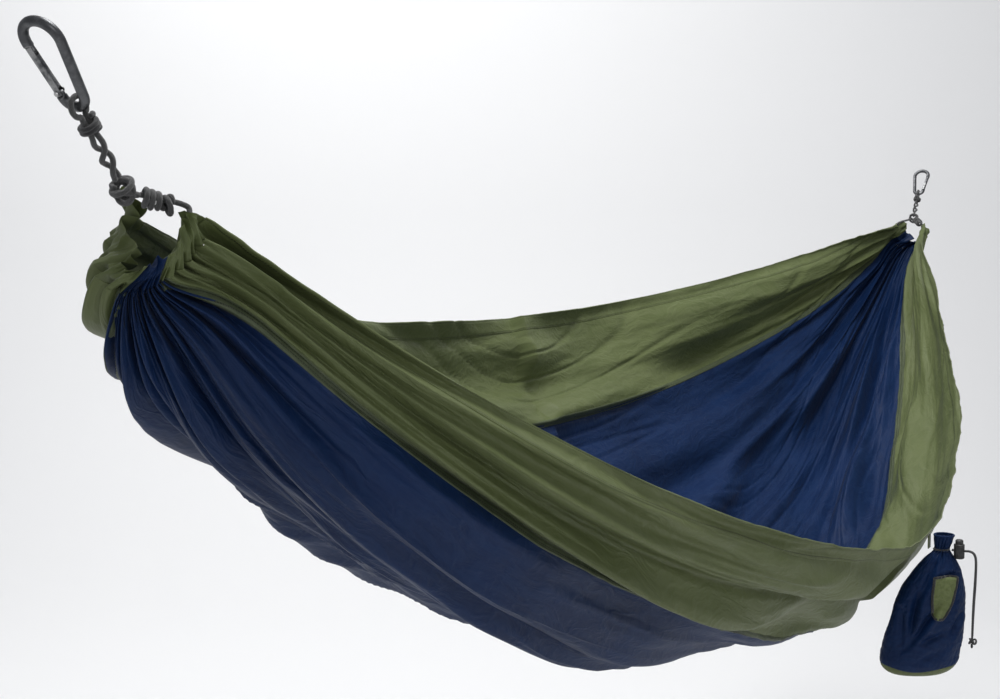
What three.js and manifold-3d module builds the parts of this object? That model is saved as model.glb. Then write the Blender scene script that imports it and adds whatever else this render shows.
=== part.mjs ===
// A gathered-end camping hammock hung between two pear-shaped snap hooks, in millimetres, +Z up.
// The origin is where the near hook hangs: the inside of its wide end. +X runs to the far hook,
// +Y is the far rim's side, and the near rim, with the stuff sack, is on the -Y side.
import * as THREE from 'three';
import { mergeVertices } from 'three/addons/utils/BufferGeometryUtils.js';
import Module from 'manifold-3d';

const wasm = await Module();
wasm.setup();

// Overall sizes
const bedLength = 2818;              // from one gather to the other
const clothGauge = 3;                // stand-in thickness of the nylon
const fitGap = 0.3;                  // between pieces that touch
const hangSlope = THREE.MathUtils.degToRad(52);

// Cross-section of the bed at mid-length: half-widths and depths below the gathers
const farRim = { out: 373, drop: 179, outPower: 1.16, dropPower: 0.91 };
const nearRim = { out: 334, drop: 484, outPower: 1.2, dropPower: 1.14 };
const farBelly = { out: 268, drop: 554, outPower: 0.3, dropPower: 0.585 };
const nearBelly = { out: 59, drop: 869, outPower: 0.41, dropPower: 0.72 };
const nearSeamShare = 0.176;         // where the seams lie across the bed, 0 = near rim
const nearSeamDrift = 0.086;
const farSeamShare = 0.833;
const farSeamDrift = -0.016;
const nearSeamCrowd = 0.22;          // how far the middle cloth is crowded together at the near gather
const nearSeamReach = 35;
const farSeamCrowd = 0.4;
const farSeamReach = 110;
const hemWidth = 25;
const hemGauge = 3.6;
const seamWidth = 9;
const seamGauge = 1;
const seamLift = 1;                  // off the cloth, as its flat facets bridge the gather's curve

// Gathered ends
const gatherRadius = 34;             // of the rope's horseshoe inside the end sleeve
const gatherOpening = THREE.MathUtils.degToRad(120);
const sleeveDepth = 14;              // of the sleeve, along the bed
const sleeveWall = 2.4;
const sleeveGap = 1.2;               // the sleeve's facets don't line up with the panels'
const ropeDiameter = 4.6;
const ropeClearance = 0.6;
const knotRadius = 9;
const bight = 8;                     // radius of the rope's turn round the hook's bar
const wrapDrop = 18;                 // from the hook's bar to the wrap that closes the bight
const mouthRun = 5;                  // rope that runs straight out of each sleeve mouth
const mouthPull = 42;                // how far the mouths sit inside the horseshoe's foot

// Snap hooks
const barDiameter = 8;
const wideRadius = 16;               // of the bar's centreline at the wide end
const narrowRadius = 10;
const hookCentres = 46;              // between the two arcs' centres
const tongueThickness = 3;
const tongueLength = 7;
const slotClearance = 0.35;
const slotRun = 2.2;                 // of the gate's slots past the tongues, for their corners to turn in
const gateDiameter = 7;
const rivetRadius = 1.1;
const rivetSetBack = 2;              // of the rivet from the tongue's end
const shoulder = 1.2;                // of full bar left before each tongue
const gateEndGap = 0.5;
const gateFootGap = 1.3;             // room for the foot's corner to turn in
const springWell = 1.6;              // radius of the bore for the gate's spring
const springRadius = 1.1;
const springLength = 10.7;
const ropeRun = 76;                  // from the hook's narrow bar to the gather

// Stuff sack: half-sizes of its oval, measured down from the near rim
const sackRows = [
  { down: 8, wide: 13, deep: 11 },
  { down: 18, wide: 12, deep: 10 },
  { down: 28, wide: 11, deep: 9 },
  { down: 44, wide: 24, deep: 15 },
  { down: 66, wide: 38, deep: 21 },
  { down: 96, wide: 49, deep: 25 },
  { down: 130, wide: 55, deep: 27 },
  { down: 165, wide: 59, deep: 28 },
  { down: 196, wide: 60, deep: 27 },
];
const sackWall = 2.5;
const baseDepth = 34;
const sackTurn = THREE.MathUtils.degToRad(-63);   // of its flat face, which looks at the near end
const sackLean = 0.17;               // drift towards the bed per unit down
const tabWidth = 15;
const tabGauge = 1.6;
const tabDrop = 8;                   // from the rim's edge to where the tab leaves it
const rollRadius = 1.6;              // of the hem's roll round the mouth
const rollGap = 0.8;
const patchWidth = 37;
const patchHeight = 67;
const patchGauge = 1.2;

// Drawcord and cord lock
const cordDiameter = 3;
const lockRadius = 8;
const lockLength = 22;
const lockWall = 1.8;
const lockFloor = 2.4;
const buttonTravel = 4;
const buttonProud = 7;
const lockGap = 3;                   // between the sack's neck cord and the lock
const exitGap = 3.4;                 // between the neck and the tails' start

const hammock = new THREE.Group();

// ---- colours and finishes
function finish(colour, roughness, metalness = 0) {
  return new THREE.MeshStandardMaterial({ color: colour, roughness, metalness });
}
const oliveNylon = finish(0x58673a, 0.75);
const navyNylon = finish(0x102a5a, 0.7);
const gunmetal = finish(0x55575a, 0.4, 0.9);
const charcoalRope = finish(0x2e2e31, 0.9);
const blackPlastic = finish(0x141416, 0.5);
const blackCord = finish(0x1b1b1d, 0.85);
const springSteel = finish(0xa9abae, 0.35, 1);

function piece(name, geometry, material, parent = hammock) {
  const mesh = new THREE.Mesh(geometry, material);
  mesh.name = name;
  parent.add(mesh);
  return mesh;
}

// ---- joining and cutting closed meshes
function bare(geometry) {
  const copy = geometry.clone();
  copy.deleteAttribute('normal');
  copy.deleteAttribute('uv');
  return mergeVertices(copy, 1e-4);
}

function toSolid(geometry) {
  const mesh = bare(geometry);
  return new wasm.Manifold(new wasm.Mesh({
    numProp: 3,
    vertProperties: new Float32Array(mesh.attributes.position.array),
    triVerts: new Uint32Array(mesh.index.array),
  }));
}

function fromSolid(solid) {
  const mesh = solid.getMesh();
  const geometry = new THREE.BufferGeometry();
  geometry.setAttribute('position', new THREE.BufferAttribute(new Float32Array(mesh.vertProperties), 3));
  geometry.setIndex(new THREE.BufferAttribute(new Uint32Array(mesh.triVerts), 1));
  geometry.computeVertexNormals();
  return geometry;
}

// ---- general shapes
function tube(curve, radius, sides, steps) {
  const section = new THREE.Shape();
  for (let i = 0; i < sides; i += 1) {
    const turn = (i / sides) * Math.PI * 2;
    section[i ? 'lineTo' : 'moveTo'](radius * Math.cos(turn), radius * Math.sin(turn));
  }
  return new THREE.ExtrudeGeometry(section, { steps, extrudePath: curve });
}

function curveThrough(points) {
  return new THREE.CatmullRomCurve3(points, false, 'centripetal');
}

function smooth(points) {
  return curveThrough(points.map((p) => new THREE.Vector3(...p)));
}

// A closed solid between two grids of points, outer(i, j) and inner(i, j).
function slab(rows, columns, outer, inner) {
  const positions = [];
  const index = [];
  const stride = columns + 1;
  const layer = (rows + 1) * stride;
  for (const side of [outer, inner]) {
    for (let i = 0; i <= rows; i += 1) {
      for (let j = 0; j <= columns; j += 1) positions.push(...side(i, j).toArray());
    }
  }
  const quad = (a, b, c, d) => index.push(a, b, c, a, c, d);
  for (let i = 0; i < rows; i += 1) {
    for (let j = 0; j < columns; j += 1) {
      const a = i * stride + j;
      quad(a, a + 1, a + stride + 1, a + stride);
      quad(layer + a, layer + a + stride, layer + a + stride + 1, layer + a + 1);
    }
  }
  for (let j = 0; j < columns; j += 1) {
    const last = rows * stride + j;
    quad(j, layer + j, layer + j + 1, j + 1);
    quad(last, last + 1, layer + last + 1, layer + last);
  }
  for (let i = 0; i < rows; i += 1) {
    const first = i * stride;
    const last = first + columns;
    quad(first, first + stride, layer + first + stride, layer + first);
    quad(last, layer + last, layer + last + stride, last + stride);
  }
  const geometry = new THREE.BufferGeometry();
  geometry.setAttribute('position', new THREE.Float32BufferAttribute(positions, 3));
  geometry.setIndex(index);
  return geometry;
}

// ---- where the ends are
const hookReach = wideRadius - barDiameter / 2;            // hang point to the wide arc's centre
const narrowBar = hookReach + hookCentres + narrowRadius;  // hang point to the narrow bar's centre
const hangRun = narrowBar + ropeRun;
const gatherX = hangRun * Math.cos(hangSlope);
const gatherZ = -hangRun * Math.sin(hangSlope);
const halfBed = bedLength / 2;
const bedMiddle = gatherX + halfBed;

// ---- the bed's middle surface: along runs -1 to 1, across runs 0 (near rim) to 1 (far rim)
function powered(corner, side, fall) {
  return [side * corner.out * fall ** corner.outPower, -corner.drop * fall ** corner.dropPower];
}

function clothPoint(along, across) {
  const fall = Math.max(1 - along * along, 0);
  const corners = [powered(nearRim, -1, fall), powered(nearBelly, -1, fall),
    powered(farBelly, 1, fall), powered(farRim, 1, fall)];
  const back = 1 - across;
  const weights = [back ** 3, 3 * back * back * across, 3 * back * across * across, across ** 3];
  const turn = (across * 2 - 1) * gatherOpening;
  const hold = (1 - fall) ** 6;
  const pull = hold * mouthPull * THREE.MathUtils.smoothstep(Math.abs(across * 2 - 1), 0, 1);
  let y = hold * gatherRadius * Math.sin(turn);
  let z = -hold * gatherRadius * (1 + Math.cos(turn));
  for (let k = 0; k < 4; k += 1) {
    y += weights[k] * corners[k][0];
    z += weights[k] * corners[k][1];
  }
  return new THREE.Vector3(bedMiddle + along * halfBed - Math.sign(along) * pull, y, gatherZ + z);
}

function acrossRate(along, across) {
  const step = 1e-3;
  const low = Math.max(across - step, 0);
  const high = Math.min(across + step, 1);
  return clothPoint(along, high).distanceTo(clothPoint(along, low)) / (high - low);
}

// Out of the bed, away from the person lying in it.
function clothNormal(along, across) {
  const stepAlong = 2e-3;
  const stepAcross = 4e-3;
  const a0 = Math.max(along - stepAlong, -1);
  const a1 = Math.min(along + stepAlong, 1);
  const c0 = Math.max(across - stepAcross, 0);
  const c1 = Math.min(across + stepAcross, 1);
  const lengthwise = clothPoint(a1, across).sub(clothPoint(a0, across));
  const crosswise = clothPoint(along, c1).sub(clothPoint(along, c0));
  return crosswise.cross(lengthwise).normalize();
}

const bedEnd = 1 - sleeveDepth / halfBed;                  // where the panels meet the sleeve
const lengthSteps = 28;

// Stations along the bed, closest together at its ends.
function alongAt(i) {
  return Math.sin((i / lengthSteps - 0.5) * Math.PI) * bedEnd;
}

// A strip of cloth between two lines across the bed, given by functions of the place along it.
function strip(columnsAt, near, far) {
  const columns = columnsAt(0).length - 1;
  const point = (i, j, lift) => {
    const along = alongAt(i);
    const across = columnsAt(along)[j];
    return clothPoint(along, across).addScaledVector(clothNormal(along, across), lift);
  };
  return slab(lengthSteps, columns, (i, j) => point(i, j, far), (i, j) => point(i, j, near));
}

function spread(from, to, count, edge) {
  const width = to - from;
  const inset = Math.min(edge, width * 0.25);
  const line = [from, from + inset];
  for (let k = 1; k < count; k += 1) line.push(from + inset + ((width - 2 * inset) * k) / count);
  line.push(to - inset, to);
  return line;
}

const crowding = (along, reach) => Math.exp((-bedLength / 2) * ((1 + along) / reach));
const nearCrowding = (along) => nearSeamCrowd * crowding(along, nearSeamReach);
const farCrowding = (along) => farSeamCrowd * crowding(along, farSeamReach);
const nearSeam = (along) => nearSeamShare + nearSeamDrift * along + nearCrowding(along);
const farSeam = (along) => farSeamShare + farSeamDrift * along - farCrowding(along);
const reach = (along, across, distance) => distance / acrossRate(along, across);
const nearHem = (along) => Math.min(hemWidth / acrossRate(0, 0), reach(along, 0, hemWidth));
const farHem = (along) => 1 - Math.min(hemWidth / acrossRate(0, 1), reach(along, 1, hemWidth));

function panel(from, to, count) {
  return strip((along) => {
    const a = from(along);
    const b = to(along);
    const slack = fitGap / 2;
    return spread(a + reach(along, a, slack), b - reach(along, b, slack), count,
      reach(along, (a + b) / 2, seamWidth / 2));
  }, -clothGauge / 2, clothGauge / 2);
}

piece('side_panel_near', panel(nearHem, nearSeam, 4), oliveNylon);
piece('centre_panel', panel(nearSeam, farSeam, 8), navyNylon);
piece('side_panel_far', panel(farSeam, farHem, 7), oliveNylon);

function hem(from, to) {
  return strip((along) => {
    const a = from(along);
    const b = to(along);
    const slack = fitGap / 2;
    const low = a === 0 ? 0 : a + reach(along, a, slack);
    const high = b === 1 ? 1 : b - reach(along, b, slack);
    return [low, (low + high) / 2, high];
  }, -hemGauge / 2, hemGauge / 2);
}

piece('rim_hem_near', hem(() => 0, nearHem), oliveNylon);
piece('rim_hem_far', hem(farHem, () => 1), oliveNylon);

function seam(line) {
  const lift = clothGauge / 2 + seamLift;
  return strip((along) => {
    const across = line(along);
    const half = reach(along, across, seamWidth / 2);
    return [across - half, across, across + half];
  }, lift, lift + seamGauge);
}

piece('seam_near', seam(nearSeam), oliveNylon);
piece('seam_far', seam(farSeam), oliveNylon);

// ---- end sleeves: a band of cloth sewn round the gathering rope
// The horseshoe that the rope makes in the sleeve, run on past both mouths by a distance.
function gatherPoints(end, past) {
  const count = 12;
  const points = Array.from({ length: count + 1 }, (_, k) => clothPoint(end, k / count));
  const onward = (mouth, before) => {
    const way = mouth.clone().sub(before).normalize();
    return mouth.clone().addScaledVector(way, past);
  };
  return [onward(points[0], points[1]), ...points, onward(points[count], points[count - 1])];
}

function endSleeve(end) {
  const rows = 2;
  const columns = 18;
  const start = bedEnd + sleeveGap / halfBed;
  const at = (i, j, lift) => {
    const along = end * (start + ((1 - start) * i) / rows);
    const across = end < 0 ? 1 - j / columns : j / columns;
    const normal = clothNormal(end * Math.min(Math.abs(along), 1), across);
    return clothPoint(along, across).addScaledVector(normal, lift);
  };
  const band = slab(rows, columns, (i, j) => at(i, j, clothGauge / 2), (i, j) => at(i, j, -clothGauge / 2));
  const bore = ropeDiameter / 2 + ropeClearance;
  const casing = tube(curveThrough(gatherPoints(end, 0.5)), bore + sleeveWall, 10, 24);
  const channel = tube(curveThrough(gatherPoints(end, mouthRun)), bore, 8, 26);
  return fromSolid(toSolid(band).add(toSolid(casing)).subtract(toSolid(channel)));
}

piece('end_sleeve_near', endSleeve(-1), oliveNylon);
piece('end_sleeve_far', endSleeve(1), oliveNylon);

// ---- the gathering rope, from the knot through the sleeve and back
const knotReach = knotRadius * 1.5 + ropeDiameter / 2 + fitGap;

function endRope(end) {
  const run = gatherPoints(end, mouthRun);
  const knot = new THREE.Vector3(bedMiddle + end * halfBed, 0, gatherZ);
  const leg = (mouth) => mouth.clone().sub(knot).setLength(knotReach).add(knot);
  const points = [leg(run[0]), ...run, leg(run[run.length - 1])];
  return tube(curveThrough(points), ropeDiameter / 2, 8, 44);
}

piece('end_rope_near', endRope(-1), charcoalRope);
piece('end_rope_far', endRope(1), charcoalRope);

// ---- one end's hook, gate and ropes, built hanging from its own origin towards +X
// In the hook's plane, a runs down the line of hang and b runs across the hook.
const down = new THREE.Vector3(Math.cos(hangSlope), 0, -Math.sin(hangSlope));
const across = new THREE.Vector3(0, 1, 0);
const facing = new THREE.Vector3().crossVectors(down, across);

const taper = Math.asin((wideRadius - narrowRadius) / hookCentres);
const straight = Math.sqrt(hookCentres ** 2 - (wideRadius - narrowRadius) ** 2);
const wideCentre = [hookReach, 0];
const narrowCentre = [hookReach + hookCentres, 0];

function onArc(centre, radius, turn) {
  return [centre[0] + radius * Math.cos(turn), centre[1] + radius * Math.sin(turn), 0];
}

// The gate's side: from the narrow arc's end towards the wide arc's end.
const gateFoot = onArc(narrowCentre, narrowRadius, Math.PI / 2 - taper);
const gateHead = onArc(wideCentre, wideRadius, Math.PI / 2 - taper);
const gateWay = new THREE.Vector2(gateHead[0] - gateFoot[0], gateHead[1] - gateFoot[1]).normalize();

function alongGate(distance) {
  return [gateFoot[0] + gateWay.x * distance, gateFoot[1] + gateWay.y * distance, 0];
}

function hookBar() {
  const points = [];
  const wideSteps = 14;
  const narrowSteps = 10;
  points.push(alongGate(straight - tongueLength));
  for (let k = 0; k <= wideSteps; k += 1) {
    const turn = Math.PI / 2 - taper + (k / wideSteps) * (Math.PI + 2 * taper);
    points.push(onArc(wideCentre, wideRadius, turn));
  }
  for (let k = 0; k <= narrowSteps; k += 1) {
    const turn = -Math.PI / 2 + taper + (k / narrowSteps) * (Math.PI - 2 * taper);
    points.push(onArc(narrowCentre, narrowRadius, turn));
  }
  points.push(alongGate(tongueLength));
  return tube(smooth(points), barDiameter / 2, 8, 40);
}

function gateBox(from, to, low, high) {
  const box = new THREE.BoxGeometry(to - from, barDiameter * 1.5, high - low);
  box.translate((from + to) / 2, 0, (low + high) / 2);
  box.rotateZ(Math.atan2(gateWay.y, gateWay.x));
  box.translate(gateFoot[0], gateFoot[1], 0);
  return box;
}

function gatePin(radius, length) {
  const pin = new THREE.CylinderGeometry(radius, radius, length, 16);
  pin.rotateX(Math.PI / 2);
  const spot = alongGate(tongueLength - rivetSetBack);
  pin.translate(spot[0], spot[1], 0);
  return pin;
}

const cheek = tongueThickness / 2;

function hookBody() {
  let solid = toSolid(hookBar());
  const tongues = [[shoulder, tongueLength + 2], [straight - tongueLength - 2, straight - shoulder]];
  for (const [from, to] of tongues) {
    solid = solid.subtract(toSolid(gateBox(from, to, cheek, barDiameter)));
    solid = solid.subtract(toSolid(gateBox(from, to, -barDiameter, -cheek)));
  }
  return fromSolid(solid.subtract(toSolid(gatePin(rivetRadius + fitGap, barDiameter * 2))));
}

function gate() {
  const start = shoulder + gateFootGap;
  const end = straight - shoulder - gateEndGap;
  const foot = new THREE.Vector3(...alongGate(start));
  const head = new THREE.Vector3(...alongGate(end));
  const line = new THREE.LineCurve3(foot, head);
  let solid = toSolid(tube(line, gateDiameter / 2, 12, 1));
  const slot = cheek + slotClearance;
  const deep = tongueLength + slotRun;
  solid = solid.subtract(toSolid(gateBox(0, deep, -slot, slot)));
  solid = solid.subtract(toSolid(gateBox(straight - deep, straight, -slot, slot)));
  solid = solid.subtract(toSolid(gatePin(rivetRadius + fitGap, barDiameter * 2)));
  const well = new THREE.LineCurve3(new THREE.Vector3(...alongGate(deep - 2)),
    new THREE.Vector3(...alongGate(tongueLength + springLength + 2)));
  return fromSolid(solid.subtract(toSolid(tube(well, springWell, 10, 1))));
}

function rivet() {
  const half = gateDiameter / 2 + fitGap;
  const head = rivetRadius + 1.1;
  const profile = [[0, -half - 0.7], [head * 0.8, -half - 0.7], [head, -half], [rivetRadius, -half],
    [rivetRadius, half], [head, half], [head * 0.8, half + 0.7], [0, half + 0.7]];
  const turned = new THREE.LatheGeometry(profile.map((p) => new THREE.Vector2(...p)), 16);
  turned.rotateX(Math.PI / 2);
  const spot = alongGate(tongueLength - rivetSetBack);
  turned.translate(spot[0], spot[1], 0);
  return turned;
}

function gateSpring() {
  const start = new THREE.Vector3(...alongGate(tongueLength + fitGap));
  const end = new THREE.Vector3(...alongGate(tongueLength + fitGap + springLength));
  return tube(new THREE.LineCurve3(start, end), springRadius, 8, 1);
}

// The doubled rope: up from the gather, round the hook's narrow bar and back.
const strand = ropeDiameter / 2 + fitGap;
const wrapAt = narrowBar + wrapDrop;

function hangLoop() {
  const points = [[hangRun - knotReach, strand], [hangRun - knotReach - 14, strand],
    [wrapAt + 10, strand], [wrapAt, strand], [wrapAt - 5, strand * 1.25]];
  const turns = 8;
  for (let k = 0; k <= turns; k += 1) {
    const turn = (0.12 + (0.88 * k) / turns) * Math.PI;
    points.push([narrowBar + bight * Math.cos(turn), bight * Math.sin(turn)]);
  }
  const back = points.slice(0, -1).reverse().map(([a, c]) => [a, -c]);
  return tube(smooth([...points, ...back].map(([a, c]) => [a, 0, c])), ropeDiameter / 2, 8, 40);
}

function wrapKnot() {
  const inner = strand + ropeDiameter / 2 + fitGap + 0.1;
  const ring = new THREE.TorusGeometry(inner + ropeDiameter / 2, ropeDiameter / 2, 6, 16);
  ring.rotateY(Math.PI / 2);
  ring.translate(wrapAt, 0, 0);
  return ring;
}

function gatherKnot() {
  const knot = new THREE.TorusKnotGeometry(knotRadius, ropeDiameter / 2, 40, 6, 2, 3);
  knot.rotateX(Math.PI / 2);
  knot.translate(hangRun, 0, 0);
  return knot;
}

const frame = new THREE.Matrix4().makeBasis(down, across, facing);

function hangingEnd(label, x, turn) {
  const group = new THREE.Group();
  group.position.set(x, 0, 0);
  group.rotation.z = turn;
  const inner = new THREE.Group();
  inner.applyMatrix4(frame);
  group.add(inner);
  hammock.add(group);
  piece(`hook_${label}`, hookBody(), gunmetal, inner);
  piece(`gate_${label}`, gate(), gunmetal, inner);
  piece(`gate_rivet_${label}`, rivet(), springSteel, inner);
  piece(`gate_spring_${label}`, gateSpring(), springSteel, inner);
  piece(`hang_loop_${label}`, hangLoop(), charcoalRope, inner);
  piece(`eye_knot_${label}`, wrapKnot(), charcoalRope, inner);
  piece(`gather_knot_${label}`, gatherKnot(), charcoalRope, inner);
}

const span = 2 * bedMiddle;
hangingEnd('near', 0, 0);
hangingEnd('far', span, Math.PI);

// ---- the stuff sack, hanging mouth up outside the near rim at mid-length
const rimEdge = clothPoint(0, 0);
const tabSeam = reach(0, 0, tabDrop);
const tabHold = clothPoint(0, tabSeam).addScaledVector(clothNormal(0, tabSeam), hemGauge / 2 + fitGap * 2);
const neck = sackRows[2];
const widest = sackRows[sackRows.length - 1];
const sackX = rimEdge.x;
const mouthOut = sackRows[0].wide + 2 * rollRadius + rollGap + fitGap;
const sackY = tabHold.y - tabGauge - mouthOut;
const sackSides = 20;

// A ring of points round the sack, its oval turned so that its flat face looks at the near end.
function sackRing(row, shrink = 0) {
  return Array.from({ length: sackSides }, (_, j) => {
    const turn = (j / sackSides) * Math.PI * 2;
    const w = (row.wide - shrink) * Math.cos(turn);
    const d = (row.deep - shrink) * Math.sin(turn);
    return new THREE.Vector3(sackX + w * Math.cos(sackTurn) - d * Math.sin(sackTurn),
      sackY + sackLean * (row.down - neck.down) + w * Math.sin(sackTurn) + d * Math.cos(sackTurn),
      rimEdge.z - row.down);
  });
}

// A closed solid from a list of rings, which either meet end to end or close on a point each.
function fromRings(rings, looped) {
  const count = rings[0].length;
  const positions = rings.flat().flatMap((p) => p.toArray());
  const index = [];
  const total = rings.length;
  const at = (i, j) => (i % total) * count + (j % count);
  for (let i = 0; i < total - (looped ? 0 : 1); i += 1) {
    for (let j = 0; j < count; j += 1) {
      index.push(at(i, j), at(i + 1, j + 1), at(i, j + 1));
      index.push(at(i, j), at(i + 1, j), at(i + 1, j + 1));
    }
  }
  const cap = (i, flip) => {
    const middle = rings[i].reduce((sum, p) => sum.add(p), new THREE.Vector3()).divideScalar(count);
    const hub = positions.length / 3;
    positions.push(...middle.toArray());
    for (let j = 0; j < count; j += 1) {
      const rim = [at(i, j), at(i, j + 1)];
      index.push(hub, ...(flip ? rim.reverse() : rim));
    }
  };
  if (!looped) {
    cap(0, false);
    cap(total - 1, true);
  }
  const geometry = new THREE.BufferGeometry();
  geometry.setAttribute('position', new THREE.Float32BufferAttribute(positions, 3));
  geometry.setIndex(index);
  return geometry;
}

function sackBody() {
  const outer = sackRows.map((row) => sackRing(row));
  const inner = [...sackRows].reverse().map((row) => sackRing(row, sackWall));
  return fromRings([...outer, ...inner], true);
}

function sackBase() {
  const steps = 5;
  const turns = Array.from({ length: steps }, (_, k) => (k / steps) * (Math.PI / 2));
  const rowAt = (turn, depth) => ({
    down: widest.down + fitGap + depth * Math.sin(turn),
    wide: widest.wide * Math.cos(turn) ** 0.6,
    deep: widest.deep * Math.cos(turn) ** 0.8,
  });
  const outer = turns.map((turn) => sackRing(rowAt(turn, baseDepth)));
  const inner = turns.map((turn) => sackRing(rowAt(turn, baseDepth - sackWall), sackWall));
  return fromRings([...inner.reverse(), ...outer], false);
}

// A round cord lying against the sack all the way round one row.
function cordRound(row, radius, gap) {
  const rings = sackRing(row).map((p, j, all) => {
    const hub = all.reduce((sum, q) => sum.add(q), new THREE.Vector3()).divideScalar(all.length);
    const out = p.clone().sub(hub).normalize();
    const centre = p.clone().addScaledVector(out, radius + gap);
    return Array.from({ length: 8 }, (_, k) => {
      const turn = (k / 8) * Math.PI * 2;
      return centre.clone().addScaledVector(out, radius * Math.cos(turn))
        .add(new THREE.Vector3(0, 0, radius * Math.sin(turn)));
    });
  });
  return fromRings(rings, true);
}

piece('sack_body', sackBody(), navyNylon);
piece('sack_base', sackBase(), oliveNylon);
piece('drawcord', cordRound(neck, cordDiameter / 2, rollGap), blackCord);
piece('sack_hem', cordRound(sackRows[0], rollRadius, rollGap), navyNylon);

// The tab hangs straight down from the rim's hem to the back of the sack's neck.
function sackTab() {
  const drop = neck.down - (rimEdge.z - tabHold.z);
  const strap = new THREE.BoxGeometry(tabWidth, tabGauge, drop);
  strap.translate(sackX, tabHold.y - tabGauge / 2, tabHold.z - drop / 2);
  return strap;
}

piece('sack_tab', sackTab(), oliveNylon);

// The patch: a shield with a flat top, wrapped on the sack's flat face.
function sackPatch() {
  const top = 66;
  const rows = 10;
  const columns = 8;
  const sideways = 9;                // of the patch's middle from the face's middle
  const at = (i, j, lift) => {
    const fall = i / rows;
    const down = top + patchHeight * fall;
    const k = sackRows.findIndex((row) => row.down > down);
    const before = sackRows[k - 1];
    const after = sackRows[k];
    const part = (down - before.down) / (after.down - before.down);
    const mix = (key) => before[key] + (after[key] - before[key]) * part;
    const half = (patchWidth / 2) * Math.sqrt(1 - 0.93 * fall ** 2.4);
    const w = sideways + half * ((2 * j) / columns - 1);
    const d = -mix('deep') * Math.sqrt(1 - (w / mix('wide')) ** 2) - fitGap - 0.6 - lift;
    return new THREE.Vector3(sackX + w * Math.cos(sackTurn) - d * Math.sin(sackTurn),
      sackY + sackLean * (down - neck.down) + w * Math.sin(sackTurn) + d * Math.cos(sackTurn),
      rimEdge.z - down);
  };
  return slab(rows, columns, (i, j) => at(i, j, 0), (i, j) => at(i, j, patchGauge));
}

piece('patch', sackPatch(), oliveNylon);

// ---- the drawcord's tails, the cord lock on them and their knot
const exitY = sackY - neck.deep - cordDiameter - exitGap;
const exitZ = rimEdge.z - neck.down;
const lockY = exitY - lockRadius - lockGap;
const cordApart = (cordDiameter + fitGap) / 2;
const tailRoute = [
  [0, 0, 0], [0, -6, 0], [0, -12, 0], [0, -19, 0], [0, -27, 0], [0.2, -32, -2.4], [0.6, -34.8, -7.4],
  [1, -35.8, -14], [1.4, -36, -24], [2, -35.8, -36], [2.6, -35.4, -50], [2.8, -34.8, -64], [2.6, -34.2, -78],
  [2, -33.8, -92], [1.2, -33.5, -106], [0.5, -33.3, -118], [0, -33.2, -130],
];

function tail(side) {
  const points = tailRoute.map(([x, y, z]) => [sackX + side * (cordApart + x), exitY + y, exitZ + z]);
  return tube(smooth(points), cordDiameter / 2, 8, 24);
}

function tailKnot() {
  const [, y, z] = tailRoute[tailRoute.length - 1];
  const radius = 3.6;
  const knot = new THREE.TorusKnotGeometry(radius, 1.3, 32, 6, 2, 3);
  knot.rotateX(Math.PI / 2);
  knot.translate(sackX, exitY + y, exitZ + z - radius * 1.5 - 1.3 - fitGap);
  return knot;
}

piece('drawcord_tail_1', tail(-1), blackCord);
piece('drawcord_tail_2', tail(1), blackCord);
piece('tail_knot', tailKnot(), blackCord);

// The lock stands upright on the two cords, which cross it from front to back.
const half = lockLength / 2;
const holeTall = cordDiameter + 0.7;
const holeWide = 2 * (cordApart + cordDiameter / 2) + 0.6;
const lockCentreZ = exitZ - 1;
const cordHeight = exitZ - lockCentreZ;
const buttonFoot = -half + lockFloor + buttonTravel + 0.5;
const springFoot = -half + lockFloor + 0.2;

function placed(geometry) {
  return geometry.translate(sackX, lockY, lockCentreZ);
}

function turnedUp(profile, sides) {
  const geometry = new THREE.LatheGeometry(profile.map((p) => new THREE.Vector2(...p)), sides);
  return geometry.rotateX(Math.PI / 2);
}

function crossHole(low, high) {
  const box = new THREE.BoxGeometry(holeWide, lockRadius * 3, high - low);
  return toSolid(box.translate(0, 0, (low + high) / 2));
}

function lockBarrel() {
  const inside = lockRadius - lockWall;
  const shell = turnedUp([[0, -half], [lockRadius - 1.4, -half], [lockRadius, -half + 1.4],
    [lockRadius, half - 0.8], [lockRadius - 0.8, half], [inside, half], [inside, -half + lockFloor],
    [0, -half + lockFloor]], 16);
  const hole = crossHole(cordHeight - holeTall / 2, cordHeight + holeTall / 2);
  return placed(fromSolid(toSolid(shell).subtract(hole)));
}

function lockButton() {
  const outside = lockRadius - lockWall - fitGap;
  const top = half + buttonProud;
  const stem = turnedUp([[0, buttonFoot], [outside, buttonFoot], [outside, top - 1.6],
    [outside - 1.6, top], [0, top]], 16);
  const hole = crossHole(cordHeight - holeTall / 2, cordHeight + holeTall / 2 + buttonTravel);
  return placed(fromSolid(toSolid(stem).subtract(hole)));
}

function lockSpring() {
  const turns = 3;
  const steps = 10;
  const coil = 3.4;
  const wire = 0.45;
  const rise = buttonFoot - springFoot - 2 * wire - 0.2;
  const points = Array.from({ length: turns * steps + 1 }, (_, k) => {
    const turn = (k / steps) * Math.PI * 2;
    return [coil * Math.cos(turn), coil * Math.sin(turn), springFoot + wire + (rise * k) / (turns * steps)];
  });
  return placed(tube(smooth(points), wire, 6, turns * steps));
}

piece('cord_lock_barrel', lockBarrel(), blackPlastic);
piece('cord_lock_button', lockButton(), blackPlastic);
piece('cord_lock_spring', lockSpring(), springSteel);

export default hammock;
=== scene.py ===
"""The looks of a gathered-end camping hammock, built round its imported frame, in metres.

+X runs along the bed from the near hook to the far one, +Z is up, and the sack hangs from the -Y rim.
Each piece has its own function, and the calls at the end put them on the bodies that they move with.
"""
import math

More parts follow.
